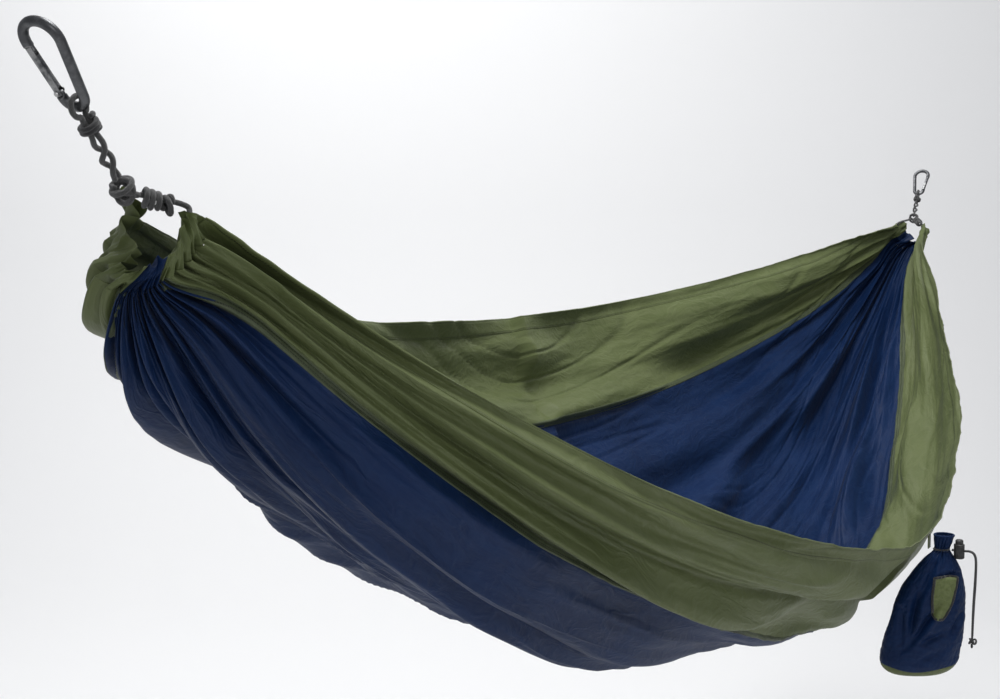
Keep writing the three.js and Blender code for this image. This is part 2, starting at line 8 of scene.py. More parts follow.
import bmesh
import bpy
import numpy as np
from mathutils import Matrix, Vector


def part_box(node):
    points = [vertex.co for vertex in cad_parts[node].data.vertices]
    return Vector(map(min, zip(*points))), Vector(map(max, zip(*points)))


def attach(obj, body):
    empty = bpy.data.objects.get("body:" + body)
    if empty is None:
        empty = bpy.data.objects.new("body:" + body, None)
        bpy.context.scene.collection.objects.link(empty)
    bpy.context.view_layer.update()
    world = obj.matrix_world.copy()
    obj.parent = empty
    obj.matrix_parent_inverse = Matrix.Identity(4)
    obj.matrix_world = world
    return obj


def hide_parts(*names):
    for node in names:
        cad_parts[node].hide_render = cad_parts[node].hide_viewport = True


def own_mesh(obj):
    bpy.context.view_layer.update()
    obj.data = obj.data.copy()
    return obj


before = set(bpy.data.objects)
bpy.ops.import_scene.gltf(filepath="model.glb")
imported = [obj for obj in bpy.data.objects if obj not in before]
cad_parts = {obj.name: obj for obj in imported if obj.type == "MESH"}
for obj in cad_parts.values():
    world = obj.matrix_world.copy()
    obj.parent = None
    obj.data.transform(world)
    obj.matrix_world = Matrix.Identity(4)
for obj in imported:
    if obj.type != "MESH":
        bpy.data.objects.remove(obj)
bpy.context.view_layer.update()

# ---- sizes shared by the pieces
BED_LENGTH = 2.818
HANG_SLOPE = math.radians(52)
HANG_RUN = 0.144                     # from the hook's inside to the gather, along the rope
GATHER_RADIUS = 0.034
GATHER_OPENING = math.radians(120)
MOUTH_PULL = 0.042
SLEEVE_DEPTH = 0.014
ROPE = 0.0046
CORD = 0.003
HEM_WIDTH = 0.025
SEAM_WIDTH = 0.009
CLOTH = 0.0005                       # thickness of the nylon
FLAT_NEAR, FLAT_CENTRE, FLAT_FAR = 0.24, 0.69, 0.225   # widths that the three panels are cut to

# Corners of the bed's cross-section: sideways and downwards at mid-length, and how each falls away
NEAR_RIM = (-0.334, 1.2, -0.484, 1.14)
NEAR_BELLY = (-0.059, 0.41, -0.869, 0.72)
FAR_BELLY = (0.268, 0.3, -0.554, 0.585)
FAR_RIM = (0.373, 1.16, -0.179, 0.91)
NEAR_SEAM = (0.176, 0.086)
FAR_SEAM = (0.833, -0.016)
# How far each seam moves in, where the cloth crowds together at the near gather, and over what run
NEAR_CROWD = (0.22, 0.035)
FAR_CROWD = (0.40, 0.110)

HALF_BED = BED_LENGTH / 2
GATHER = Vector((HANG_RUN * math.cos(HANG_SLOPE), 0, -HANG_RUN * math.sin(HANG_SLOPE)))
BED_MIDDLE = GATHER.x + HALF_BED
VIEW_HEADING = math.atan2(0.4587, 0.8886)


# ---- camera: low at the near end, looking along the bed
def set_camera():
    camera = bpy.data.objects.new("camera", bpy.data.cameras.new("camera"))
    bpy.context.collection.objects.link(camera)
    camera.data.lens = 54
    camera.data.sensor_width = 36
    camera.location = (BED_MIDDLE - 2.302, -0.785, GATHER.z - 0.031)
    dip = math.radians(4.52)
    level = math.cos(dip)
    way = Vector((math.cos(VIEW_HEADING) * level, math.sin(VIEW_HEADING) * level, -math.sin(dip)))
    camera.rotation_euler = way.to_track_quat("-Z", "Y").to_euler()
    bpy.context.scene.camera = camera


set_camera()


# ---- numbers and directions that many pieces use
def ease(share):
    """From 0 to 1, level at both ends."""
    return share * share * (3 - 2 * share)


def unit(vectors):
    return vectors / np.maximum(np.linalg.norm(vectors, axis=-1, keepdims=True), 1e-12)


def run_lengths(path):
    """How far along a path each of its points lies."""
    return np.concatenate([[0], np.cumsum(np.linalg.norm(np.diff(path, axis=0), axis=-1))])


def on_grid(rows, columns):
    """Places on the cloth for a grid of points, from one number for each row and each column."""
    return np.stack(np.broadcast_arrays(rows, columns), -1)


def wander(x, y, seed):
    """Smooth noise from -1 to 1 that changes about once per unit of x and of y."""
    table = np.random.default_rng(seed).uniform(-1, 1, (64, 64))
    x, y = np.broadcast_arrays(np.asarray(x, float), np.asarray(y, float))
    x0, y0 = np.floor(x).astype(int), np.floor(y).astype(int)
    sx, sy = ease(x - x0), ease(y - y0)
    pick = lambda i, j: table[(x0 + i) % 64, (y0 + j) % 64]
    low = pick(0, 0) * (1 - sx) + pick(1, 0) * sx
    high = pick(0, 1) * (1 - sx) + pick(1, 1) * sx
    return low * (1 - sy) + high * sy


# ---- the bed's middle surface
def bed_surface(along, across):
    """Points of the bed: along from -1 to 1, across from 0 (near rim) to 1 (far rim)."""
    along, across = np.broadcast_arrays(np.asarray(along, float), np.asarray(across, float))
    fall = np.clip(1 - along * along, 0, 1)
    back = 1 - across
    weights = (back ** 3, 3 * back * back * across, 3 * back * across * across, across ** 3)
    turn = (across * 2 - 1) * GATHER_OPENING
    hold = (1 - fall) ** 6
    y = hold * GATHER_RADIUS * np.sin(turn)
    z = -hold * GATHER_RADIUS * (1 + np.cos(turn))
    corners = (NEAR_RIM, NEAR_BELLY, FAR_BELLY, FAR_RIM)
    for weight, (out, out_power, drop, drop_power) in zip(weights, corners):
        y = y + weight * out * fall ** out_power
        z = z + weight * drop * fall ** drop_power
    reach = np.abs(across * 2 - 1)
    pull = hold * MOUTH_PULL * ease(reach)
    x = BED_MIDDLE + along * HALF_BED - np.sign(along) * pull
    return np.stack([x, y, GATHER.z + z], -1)


def bed_outward(along, across):
    """The direction out of the bed, away from the person in it."""
    ahead, behind = np.minimum(along + 2e-3, 1), np.maximum(along - 2e-3, -1)
    lengthwise = bed_surface(ahead, across) - bed_surface(behind, across)
    high, low = np.minimum(across + 4e-3, 1), np.maximum(across - 4e-3, 0)
    crosswise = bed_surface(along, high) - bed_surface(along, low)
    return unit(np.cross(crosswise, lengthwise))


def stretch_rate(along, across):
    """Metres of bed per unit of across."""
    high, low = np.minimum(across + 1e-3, 1), np.maximum(across - 1e-3, 0)
    step = np.linalg.norm(bed_surface(along, high) - bed_surface(along, low), axis=-1)
    return step / (high - low)


def bunching(along, reach):
    """How much the middle cloth is crowded together at the near gather, from 1 there to 0 along the bed."""
    return np.exp(-HALF_BED * (1 + along) / reach)


def near_seam(along):
    return NEAR_SEAM[0] + NEAR_SEAM[1] * along + NEAR_CROWD[0] * bunching(along, NEAR_CROWD[1])


def far_seam(along):
    return FAR_SEAM[0] + FAR_SEAM[1] * along - FAR_CROWD[0] * bunching(along, FAR_CROWD[1])


def cut_place(along, across):
    """Where a point lies across the flat cloth, in metres from the near rim."""
    a, b = near_seam(along), far_seam(along)
    near = across / a * FLAT_NEAR
    centre = FLAT_NEAR + (across - a) / (b - a) * FLAT_CENTRE
    far = FLAT_NEAR + FLAT_CENTRE + (across - b) / (1 - b) * FLAT_FAR
    return np.where(across < a, near, np.where(across < b, centre, far))


# ---- folds: many small pleats at the gathers that run together into a few long ones
# Folds per metre of flat cloth, their distance from the gather, its spread, and their weight
FOLD_SIZES = (
    (46, 0.012, 1.0, 0.8),
    (24, 0.07, 0.9, 0.85),
    (13, 0.30, 0.8, 0.8),
    (7.5, 0.95, 0.7, 0.7),
)


def fold_height(along, across):
    """How far the cloth stands off the bed's middle surface, outwards."""
    place = cut_place(along, across)
    gap = HALF_BED * (1 - np.abs(along)) + 0.004
    high, low = np.minimum(across + 1e-3, 1), np.maximum(across - 1e-3, 0)
    flat_rate = (cut_place(along, high) - cut_place(along, low)) / (high - low)
    fullness = np.maximum(flat_rate / stretch_rate(along, across), 1.02)
    end = np.where(along < 0, 0, 31)
    height = np.zeros_like(place)
    total = np.zeros_like(place)
    for k, (count, middle, width, weight) in enumerate(FOLD_SIZES):
        share = weight * np.exp(-(np.log(gap / middle) / width) ** 2 / 2)
        drift = 0.55 * wander(place * 3 + 11 * k, gap * 2.2 + end, 40 + k)
        wave = wander(place * count * 2 + drift + end, gap * (1.2 + 0.5 * k) + 5, 60 + k)
        crest = np.sign(wave) * np.abs(wave) ** 0.85
        tall = np.sqrt(fullness ** 2 - 1) / (math.pi * count * fullness)
        height = height + share * crest * tall
        total = total + share
    return height * 1.5 / np.maximum(total, 0.5)


# Where each long fold lies across the near panel, its soft and steep sides, how tall it is, how far it runs
NEAR_FOLDS = (
    (0.20, 0.13, 0.045, 1.0, 1.02),
    (0.43, 0.12, 0.04, 0.95, 0.90),
    (0.64, 0.11, 0.04, 0.75, 1.12),
    (0.84, 0.08, 0.035, 0.45, 0.80),
)
NEAR_FOLD_HEIGHT = 0.021


def near_panel_folds(along, across):
    """The long folds of the lower side panel, each with a soft side and a steep one."""
    share = np.clip(across / near_seam(along), 0, 1)
    gap = HALF_BED * (1 + along)
    drift = 0.05 * np.sin(gap * 5 + 1) + 0.03 * np.sin(gap * 11)
    rise = np.clip(gap / 0.10, 0, 1)
    height = 0
    for middle, soft, steep, tall, reach in NEAR_FOLDS:
        off = share - middle - drift * (1 - share)
        fade = 1 / (1 + np.exp((gap - reach) / 0.10))
        height = height + tall * fade * np.exp(-(off / np.where(off < 0, steep, soft)) ** 2 / 2)
    edge = np.clip(share / 0.06, 0, 1) * np.clip((1 - share) / 0.1, 0, 1)
    return NEAR_FOLD_HEIGHT * height * rise * edge


def crinkle(along, across):
    """Small creases all over, longer along the bed than across it."""
    place = cut_place(along, across)
    length = along * HALF_BED
    fine = wander(place * 90, length * 13, 5) * 0.0009
    medium = wander(place * 34 + 2, length * 5, 6) * 0.0020
    slant = wander(place * 16 + length * 9, length * 5 - place * 8, 8) * 0.0026
    ridge = np.abs(wander(place * 22 + 4 * wander(place * 3, length * 1.5, 9), length * 1.8, 10))
    fine = fine + 0.0042 * np.clip(0.22 - ridge, 0, 1) / 0.22
    gap = HALF_BED * (1 - np.abs(along))
    return (fine + medium + slant) * np.clip(gap / 0.25, 0.15, 1)


def pucker(along, across, line, seed):
    """The short ripples that stitching draws up beside a seam."""
    off = (across - line) * stretch_rate(along, across)
    ripple = wander(along * HALF_BED * 55, off * 30, seed)
    return 0.0016 * ripple * np.exp(-(np.abs(off) / 0.028))


def cloth_point(along, across):
    """A point of the folded cloth."""
    height = fold_height(along, across) + near_panel_folds(along, across) + crinkle(along, across)
    for seed, line in ((21, near_seam(along)), (22, far_seam(along)), (23, 0.0), (24, 1.0)):
        height = height + pucker(along, across, line, seed)
    # The tab's stitching keeps the rim flat beside the sack
    held = np.exp(-(along * HALF_BED / 0.09) ** 2 - (cut_place(along, across) / 0.07) ** 2)
    height = height * (1 - 0.92 * held)
    base = bed_surface(along, across)
    return base + bed_outward(along, across) * height[..., None]


# ---- meshes from grids of points
def new_object(name, mesh):
    piece = bpy.data.objects.new(name, mesh)
    bpy.context.collection.objects.link(piece)
    return piece


def grid_mesh(name, points, uv=None, closed_rows=False, closed_columns=False):
    """A mesh over a grid of points, which may close on itself either way round."""
    rows, columns = points.shape[:2]
    row_steps = rows if closed_rows else rows - 1
    column_steps = columns if closed_columns else columns - 1
    i, j = np.meshgrid(np.arange(row_steps), np.arange(column_steps), indexing="ij")
    i2, j2 = (i + 1) % rows, (j + 1) % columns
    faces = np.stack([i * columns + j, i * columns + j2, i2 * columns + j2, i2 * columns + j], -1)
    mesh = bpy.data.meshes.new(name)
    mesh.from_pydata(points.reshape(-1, 3).tolist(), [], faces.reshape(-1, 4).tolist())
    if uv is not None:
        layer = mesh.uv_layers.new(name="cloth")
        corners = [(i, j), (i, j + 1), (i + 1, j + 1), (i + 1, j)]
        last_row, last_column = uv.shape[0] - 1, uv.shape[1] - 1
        picked = [uv[np.minimum(a, last_row), np.minimum(b, last_column)] for a, b in corners]
        layer.data.foreach_set("uv", np.stack(picked, 2).reshape(-1).astype(np.float32))
    mesh.polygons.foreach_set("use_smooth", np.ones(len(mesh.polygons), bool))
    mesh.update()
    return new_object(name, mesh)


def settle(piece):
    """Applies a piece's modifiers, so that its mesh is what is seen."""
    bpy.context.view_layer.update()
    graph = bpy.context.evaluated_depsgraph_get()
    shown = piece.evaluated_get(graph)
    mesh = bpy.data.meshes.new_from_object(shown, preserve_all_data_layers=True, depsgraph=graph)
    piece.modifiers.clear()
    piece.data = mesh
    return piece


def thicken(piece, thickness):
    """Gives a sheet its thickness, half to each side."""
    solidify = piece.modifiers.new("thickness", "SOLIDIFY")
    solidify.thickness = thickness
    solidify.offset = 0
    return settle(piece)


# ---- the three panels
ALONG_STEPS = 320
STATIONS = np.sin((np.arange(ALONG_STEPS + 1) / ALONG_STEPS - 0.5) * math.pi)   # closer at the gathers


def sleeve_line():
    """Where the cloth meets the sleeve, as a share of the bed's half length, for each place across."""
    places = np.linspace(0, 1, 81)
    tries = np.linspace(0.97, 1, 301)
    limits = []
    for place in places:
        run = bed_surface(tries, np.full_like(tries, place))
        gap = np.linalg.norm(run - run[-1], axis=-1)
        limits.append(np.interp(-SLEEVE_DEPTH, -gap, tries))
    return places, np.array(limits)


SLEEVE_LINE = sleeve_line()


def reach_end(across):
    return np.interp(across, *SLEEVE_LINE)


def grid_places(low, high, steps):
    """Along and across of each point of a panel or band between two lines."""
    rough = STATIONS[:, None]
    share = np.linspace(0, 1, steps + 1)[None, :]
    along = rough * reach_end(low(rough) + (high(rough) - low(rough)) * share)
    return along, low(along) + (high(along) - low(along)) * share


def panel(name, low, high, steps):
    """One panel, from the line low to the line high across the bed."""
    along, across = grid_places(low, high, steps)
    uv = on_grid(along * HALF_BED, cut_place(along, across))
    return thicken(grid_mesh(name, cloth_point(along, across), uv), CLOTH)


def hem_share(side):
    """The hem's width as a share of the way across, at mid-length."""
    return HEM_WIDTH / stretch_rate(np.zeros(1), np.full(1, float(side)))[0]


def strip(name, low, high, steps, thickness):
    """A narrow band sewn flat on the cloth, proud of it on both faces."""
    along, across = grid_places(low, high, steps)
    points = cloth_point(along, across)
    width = run_lengths(points[ALONG_STEPS // 2])
    return thicken(grid_mesh(name, points, on_grid(along * HALF_BED, width[None, :])), thickness)


def seam_edge(line, side):
    """One edge of the band on a seam, as a line across the bed."""
    half = SEAM_WIDTH / 2
    return lambda along: line(along) + side * half / stretch_rate(along, line(along))


# ---- end sleeves: the gathered cloth round the end rope, with a loose ruffle beyond it
SLEEVE_ROUND = 40
SLEEVE_FLAT = 0.09


def end_sleeve(name, end, first, last):
    """One panel's share of the sleeve: its folded end round the rope, and the loose ruffle past it."""
    count = int((last - first) * 420) + 20
    turns = np.linspace(first, last, count)
    rope_line = bed_surface(np.full_like(turns, end), turns)
    edge_along = end * reach_end(turns)
    inward = bed_surface(edge_along, turns) - rope_line
    depth = np.linalg.norm(inward, axis=-1)
    inward = unit(inward)
    normal = bed_outward(end * np.minimum(reach_end(turns), 0.9985), turns)
    joined = fold_height(edge_along, turns) + crinkle(edge_along, turns)
    inside = np.clip(turns / 0.06, 0, 1) * np.clip((1 - turns) / 0.06, 0, 1)
    full = np.clip((turns - 0.45) / 0.3, 0, 1)
    tip = (0.008 + (0.004 + 0.015 * full) * inside) * (1 + 0.35 * wander(turns * 17, end + 3, 71))
    pleat = wander(turns * 46, end, 72) * 0.7 + wander(turns * 23, end + 5, 73) * 0.9
    ruffle = (0.006 + 0.005 * full) * pleat * (0.35 + 0.65 * inside)
    away = unit(np.gradient(rope_line, axis=0))
    columns = []
    for turn in np.linspace(0, 2 * math.pi, SLEEVE_ROUND + 1)[:-1]:
        outward = math.cos(turn)
        reach = np.where(outward < 0, outward * depth, outward * tip)
        blend = ease(np.clip((reach + depth) / (depth + tip), 0, 1))
        thick = 0.0044 * np.exp(-(reach / 0.008) ** 2) + 0.0007
        round_rope = 1 - 0.85 * np.exp(-(reach / 0.007) ** 2)
        height = (joined * (1 - blend) + ruffle * blend * 1.25) * round_rope + math.sin(turn) * thick
        sway = 0.0035 * wander(turns * 40, end + 9, 74) * blend
        flare = 0.35 * full * np.maximum(reach, 0)
        columns.append(rope_line - inward * reach[:, None] + normal * (height + flare)[:, None]
                       + away * sway[:, None])
    around = np.linspace(0, SLEEVE_FLAT, SLEEVE_ROUND + 1)[None, :]
    uv = on_grid(cut_place(edge_along, turns)[:, None], around)
    return close_ends(grid_mesh(name, np.stack(columns, 1), uv, closed_columns=True), SLEEVE_ROUND)


# ---- ropes and cords
def through(points, spacing):
    """An even run of points along a smooth curve through the given ones."""
    points = np.asarray(points, float)
    if len(points) > 2:
        steps = np.linalg.norm(np.diff(points, axis=0), axis=-1) ** 0.5
        knots = np.concatenate([[0], np.cumsum(steps)])
        slope = np.gradient(points, knots, axis=0)
        fine = []
        for k in range(len(points) - 1):
            h = knots[k + 1] - knots[k]
            t = np.linspace(0, 1, 24, endpoint=False)[:, None]
            fine.append((2 * t ** 3 - 3 * t ** 2 + 1) * points[k] + (t ** 3 - 2 * t ** 2 + t) * h * slope[k]
                        + (-2 * t ** 3 + 3 * t ** 2) * points[k + 1] + (t ** 3 - t ** 2) * h * slope[k + 1])
        points = np.concatenate([*fine, points[-1:]])
    length = run_lengths(points)
    count = max(int(length[-1] / spacing), 2)
    even = np.linspace(0, length[-1], count + 1)
    return np.stack([np.interp(even, length, points[:, k]) for k in range(3)], -1)


def frames_along(path):
    """A side and an up direction at each point of a path, turning as little as possible."""
    ways = unit(np.gradient(path, axis=0))
    side = np.cross(ways[0], [0.31, 0.17, 0.93])
    sides = []
    for way in ways:
        side = side - way * np.dot(side, way)
        side = side / np.linalg.norm(side)
        sides.append(side)
    sides = np.array(sides)
    return sides, np.cross(ways, sides)


BRAID_ROUND = 28
BRAID_LAY = 2.6                      # diameters of rope for one turn of a strand


def braid(name, points, diameter, strands=8, spacing=None):
    """A braided rope along a path, its strands crossing over and under each other."""
    spacing = spacing or diameter / 6
    path = through(points, spacing)
    side, up = frames_along(path)
    turn = np.linspace(0, 2 * math.pi, BRAID_ROUND, endpoint=False)[None, :]
    steps = np.arange(len(path))
    run = steps[:, None] * spacing / (diameter * BRAID_LAY) * 2 * math.pi
    over = np.cos(strands / 2 * turn + run * 2)
    under = np.cos(strands / 2 * turn - run * 2)
    radius = diameter / 2 * (0.93 + 0.07 * np.maximum(over, under))
    ends = np.minimum(steps, steps[::-1])[:, None] * spacing
    radius = radius * np.sqrt(np.clip(1 - (1 - ends / (diameter * 0.35)).clip(0, 1) ** 2, 0.02, 1))
    round_rope = np.cos(turn)[..., None] * side[:, None] + np.sin(turn)[..., None] * up[:, None]
    rings = path[:, None] + radius[..., None] * round_rope
    uv = on_grid(steps[:, None] * spacing, np.linspace(0, diameter * math.pi, BRAID_ROUND + 1)[None, :])
    return close_ends(grid_mesh(name, rings, uv, closed_columns=True), BRAID_ROUND)


def close_ends(piece, sections):
    """Caps the first and last ring of a tube."""
    mesh = bmesh.new()
    mesh.from_mesh(piece.data)
    mesh.verts.ensure_lookup_table()
    count = len(mesh.verts)
    for ring in (list(range(sections)), list(range(count - sections, count))[::-1]):
        mesh.faces.new([mesh.verts[k] for k in ring]).smooth = True
    bmesh.ops.recalc_face_normals(mesh, faces=mesh.faces)
    mesh.to_mesh(piece.data)
    mesh.free()
    return piece


def join(name, pieces):
    """Several meshes as one piece."""
    mesh = bmesh.new()
    for piece in pieces:
        mesh.from_mesh(piece.data)
    whole = bpy.data.meshes.new(name)
    mesh.to_mesh(whole)
    mesh.free()
    for piece in pieces:
        bpy.data.objects.remove(piece)
    return new_object(name, whole)


# ---- hooks, their ropes and their knots
BAR = 0.008
WIDE_ARC, NARROW_ARC, ARC_CENTRES = 0.016, 0.010, 0.046
NARROW_BAR = WIDE_ARC - BAR / 2 + ARC_CENTRES + NARROW_ARC
TONGUE = 0.007
HOOK_ROUND = 32
EYE_KNOT_DOWN = NARROW_BAR + 0.018
TAPER = math.asin((WIDE_ARC - NARROW_ARC) / ARC_CENTRES)
STRAIGHT = math.sqrt(ARC_CENTRES ** 2 - (WIDE_ARC - NARROW_ARC) ** 2)


def hook_frame(end):
    """A hook's place, and its directions: down the hang, across the hook and out of its face."""
    down = np.array([-end * math.cos(HANG_SLOPE), 0, -math.sin(HANG_SLOPE)])
    across = np.array([0, -end, 0.0])
    origin = np.array([0, 0, 0.0]) if end < 0 else np.array([2 * BED_MIDDLE, 0, 0])
    return origin, down, across, np.cross(down, across)


def gather_place(end):
    """Where the rope is tied at one end of the bed."""
    return np.array([GATHER.x if end < 0 else 2 * BED_MIDDLE - GATHER.x, 0, GATHER.z])


def in_hook(end, flat):
    """Points given as (down, across, out) in the hook's plane, put in the bed's frame."""
    origin, down, across, out = hook_frame(end)
    flat = np.asarray(flat, float)
    return origin + flat[:, :1] * down + flat[:, 1:2] * across + flat[:, 2:3] * out


def hook_line():
    """The middle of the hook's bar, from its nose round to its heel."""
    wide = WIDE_ARC - BAR / 2
    narrow = wide + ARC_CENTRES
    foot = np.array([narrow + NARROW_ARC * math.sin(TAPER), NARROW_ARC * math.cos(TAPER)])
    head = np.array([wide + WIDE_ARC * math.sin(TAPER), WIDE_ARC * math.cos(TAPER)])
    way = (head - foot) / STRAIGHT
    line = [head - way * step for step in np.linspace(TONGUE, 0.0004, 12)]
    for turn in np.linspace(math.pi / 2 - TAPER, math.pi * 1.5 + TAPER, 60):
        line.append([wide + WIDE_ARC * math.cos(turn), WIDE_ARC * math.sin(turn)])
    for turn in np.linspace(-math.pi / 2 + TAPER, math.pi / 2 - TAPER, 44):
        line.append([narrow + NARROW_ARC * math.cos(turn), NARROW_ARC * math.sin(turn)])
    line += [foot + way * step for step in np.linspace(0.0004, TONGUE, 12)]
    return np.array([[a, b, 0] for a, b in line])


def hook_body(name, end):
    """The bent bar, flattened to a tongue at each end of its gap."""
    path = through(hook_line(), 0.0007)
    count = len(path)
    run = np.arange(count) * np.linalg.norm(path[1] - path[0])
    from_end = np.minimum(run, run[::-1])
    tongue = np.clip((TONGUE - 0.0012 - from_end) / 0.0005, 0, 1)[:, None]
    ways = unit(np.gradient(path, axis=0))
    side = np.cross([0, 0, 1.0], ways)
    turn = np.linspace(0, 2 * math.pi, HOOK_ROUND, endpoint=False)[None, :]
    worn = 1 + 0.004 * wander(run[:, None] * 300, turn * 2, 81)
    half_out = BAR / 2 * (1 - tongue) + 0.0015 * tongue
    tip = np.sqrt(np.clip(1 - (1 - from_end / 0.0035).clip(0, 1) ** 2, 0.05, 1))[:, None]
    square = 1 + tongue * 3
    c, s = np.cos(turn), np.sin(turn)
    round_off = (np.abs(c) ** (1 + square) + np.abs(s) ** (1 + square)) ** (-1 / (1 + square))
    across = c * round_off * BAR / 2 * worn * np.where(tongue > 0, tip, 1)
    out = s * round_off * half_out * worn
    rings = path[:, None] + across[..., None] * side[:, None] + out[..., None] * np.array([0, 0, 1.0])
    shape = rings.shape
    points = in_hook(end, rings.reshape(-1, 3)).reshape(shape)
    return close_ends(grid_mesh(name, points, closed_columns=True), HOOK_ROUND)


def hang_loop(name, end):
    """The doubled rope from the gather knot to the hook, its two strands laid round each other."""
    strand = ROPE / 2 + 0.0003
    first = []
    top, bottom = EYE_KNOT_DOWN + 0.004, HANG_RUN - 0.010
    for share in np.linspace(0, 1, 22):
        turn = math.pi * (1 - math.cos(math.pi * share))
        gap = strand * (1 + 0.55 * math.sin(math.pi * share) ** 2)
        down = bottom + (top - bottom) * share
        first.append([down, gap * math.sin(turn), gap * math.cos(turn)])
    arc = []
    for share in np.linspace(0, 1, 9):
        turn = (0.12 + 0.88 * share) * math.pi
        arc.append([NARROW_BAR + 0.008 * math.cos(turn), 0, 0.008 * math.sin(turn)])
    near = [[EYE_KNOT_DOWN, 0, strand], [EYE_KNOT_DOWN - 0.005, 0, strand * 1.25], *arc[:-1]]
    mirror = lambda points: [[a, -b, -c] for a, b, c in points[::-1]]
    line = [*first, *near, arc[-1], *mirror(near), *mirror(first)]
    return braid(name, in_hook(end, line), ROPE)


def wrap_turns(centre, axis, side, radius, rise, turns, tuck):
    """A rope wound round an axis, its ends tucked back towards it."""
    axis, side = unit(np.asarray(axis, float)), np.asarray(side, float)
    side = unit(side - axis * np.dot(side, axis))
    third = np.cross(axis, side)
    points = []
    steps = int(turns * 14)
    for k in range(-2, steps + 3):
        share = min(max(k / steps, 0), 1)
        turn = 2 * math.pi * turns * k / steps
        past = max(-k, k - steps, 0)
        inner = radius - tuck * past / 2
        points.append(np.asarray(centre) + axis * (share - 0.5) * rise
                      + inner * (math.cos(turn) * side + math.sin(turn) * third))
    return points


def eye_knot(name, end):
    """The hitch that closes the loop under the hook: two turns and one over them."""
    origin, down, across, out = hook_frame(end)
    centre = origin + down * EYE_KNOT_DOWN
    tight = ROPE * 0.96
    turns = braid("turns", wrap_turns(centre, down, out, 0.0068, 0.0068, 2.1, 0.004), tight)
    over = [centre + down * a + across * b + out * c for a, b, c in (
        (0.0075, 0.001, 0.003), (0.0062, 0.0035, 0.0068), (0.001, 0.0045, 0.0088), (-0.004, 0.001, 0.0088),
        (-0.0078, -0.003, 0.0062), (-0.0082, -0.0045, 0.001))]
    return join(name, [turns, braid("crossing", over, tight)])


def gather_knot(name, end):
    """The knot that ties the end rope: a bulky double overhand."""
    origin, down, across, out = hook_frame(end)
    loops = []
    for tilt, radius, shift in ((0.1, 0.0088, -0.0035), (0.9, 0.0092, 0.0012), (-0.8, 0.009, 0.004)):
        axis = down * math.cos(tilt) + out * math.sin(tilt)
        centre = origin + down * (HANG_RUN + shift)
        loops.append(braid("loop", wrap_turns(centre, axis, across, radius, 0.003, 1.15, 0.005), ROPE))
    return join(name, loops)


def end_rope(name, end):
    """From the knot into one mouth of the sleeve, round the gather and back out of the other."""
    turns = np.linspace(0, 1, 25)
    line = bed_surface(np.full_like(turns, end), turns)
    knot = gather_place(end)

    def leg(mouth, before):
        out = mouth + unit(mouth - before) * 0.005
        return out, knot + unit(out - knot) * 0.012

    near_out, near_leg = leg(line[0], line[1])
    far_out, far_leg = leg(line[-1], line[-2])
    return braid(name, [near_leg, near_out, *line, far_out, far_leg], ROPE)


def rope_wraps(name, end):
    """The spare rope wound on the leg that runs from the gather knot to the lower rim's mouth."""
    knot = gather_place(end)
    mouth = bed_surface(np.array([float(end)]), np.array([0.0]))[0]
    way = unit(mouth - knot)
    first = wrap_turns(knot + way * 0.022, way, [0, 0, 1], 0.0062, 0.012, 2.4, 0.004)
    second = wrap_turns(knot + way * 0.036, way + [0.2, 0, 0.5], [0, 1, 0], 0.0066, 0.006, 1.3, 0.004)
    return join(name, [braid("first", first, ROPE), braid("second", second, ROPE)])


# ---- the stuff sack
# Down from the rim, half-width and half-depth of its oval at each height
SACK_ROWS = (
    (0.007, 0.0145, 0.0150),
    (0.018, 0.0122, 0.0112),
    (0.028, 0.0105, 0.0090),
    (0.044, 0.024, 0.015),
    (0.066, 0.038, 0.021),
    (0.096, 0.049, 0.025),
    (0.130, 0.055, 0.027),
    (0.165, 0.059, 0.028),
    (0.196, 0.060, 0.027),
)
SACK_SIDES, SACK_SIDE_WIDTH, SACK_SIDE_DEPTH = SACK_ROWS[-1]
SACK_BASE_DEPTH = 0.032
SACK_DEEPEST = SACK_SIDES + SACK_BASE_DEPTH
SACK_ROUND = 240
SACK_FLAT = (0.30, 0.205)
SACK_TURN = math.radians(-63)
SACK_LEAN = 0.17
NECK_DOWN = 0.028
RIM_Z = bed_surface(np.zeros(1), np.zeros(1))[0][2]
SACK_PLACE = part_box("sack_hem")
SACK_X = BED_MIDDLE
SACK_Y = (SACK_PLACE[0][1] + SACK_PLACE[1][1]) / 2 + 0.0034


def sack_oval(down):
    """Half-width and half-depth of the sack at each depth below the rim."""
    base = []
    for turn in np.linspace(0, math.pi / 2, 16)[1:]:
        left = max(math.cos(turn), 0)
        base.append((SACK_SIDES + SACK_BASE_DEPTH * math.sin(turn), SACK_SIDE_WIDTH * left ** 0.6,
                     SACK_SIDE_DEPTH * left ** 0.8))
    rows = np.concatenate([through(SACK_ROWS, 0.001), base])
    return np.interp(down, rows[:, 0], rows[:, 1]), np.interp(down, rows[:, 0], rows[:, 2])


def crease(w, down, start, end, width, depth):
    """A dent along a line on the sack's face."""
    start, end = np.array(start), np.array(end)
    line = end - start
    share = np.clip(((w - start[0]) * line[0] + (down - start[1]) * line[1]) / line.dot(line), 0, 1)
    off = np.hypot(w - start[0] - share * line[0], down - start[1] - share * line[1])
    return -depth * np.exp(-(off / width) ** 2) * np.sin(math.pi * (0.12 + 0.82 * share))


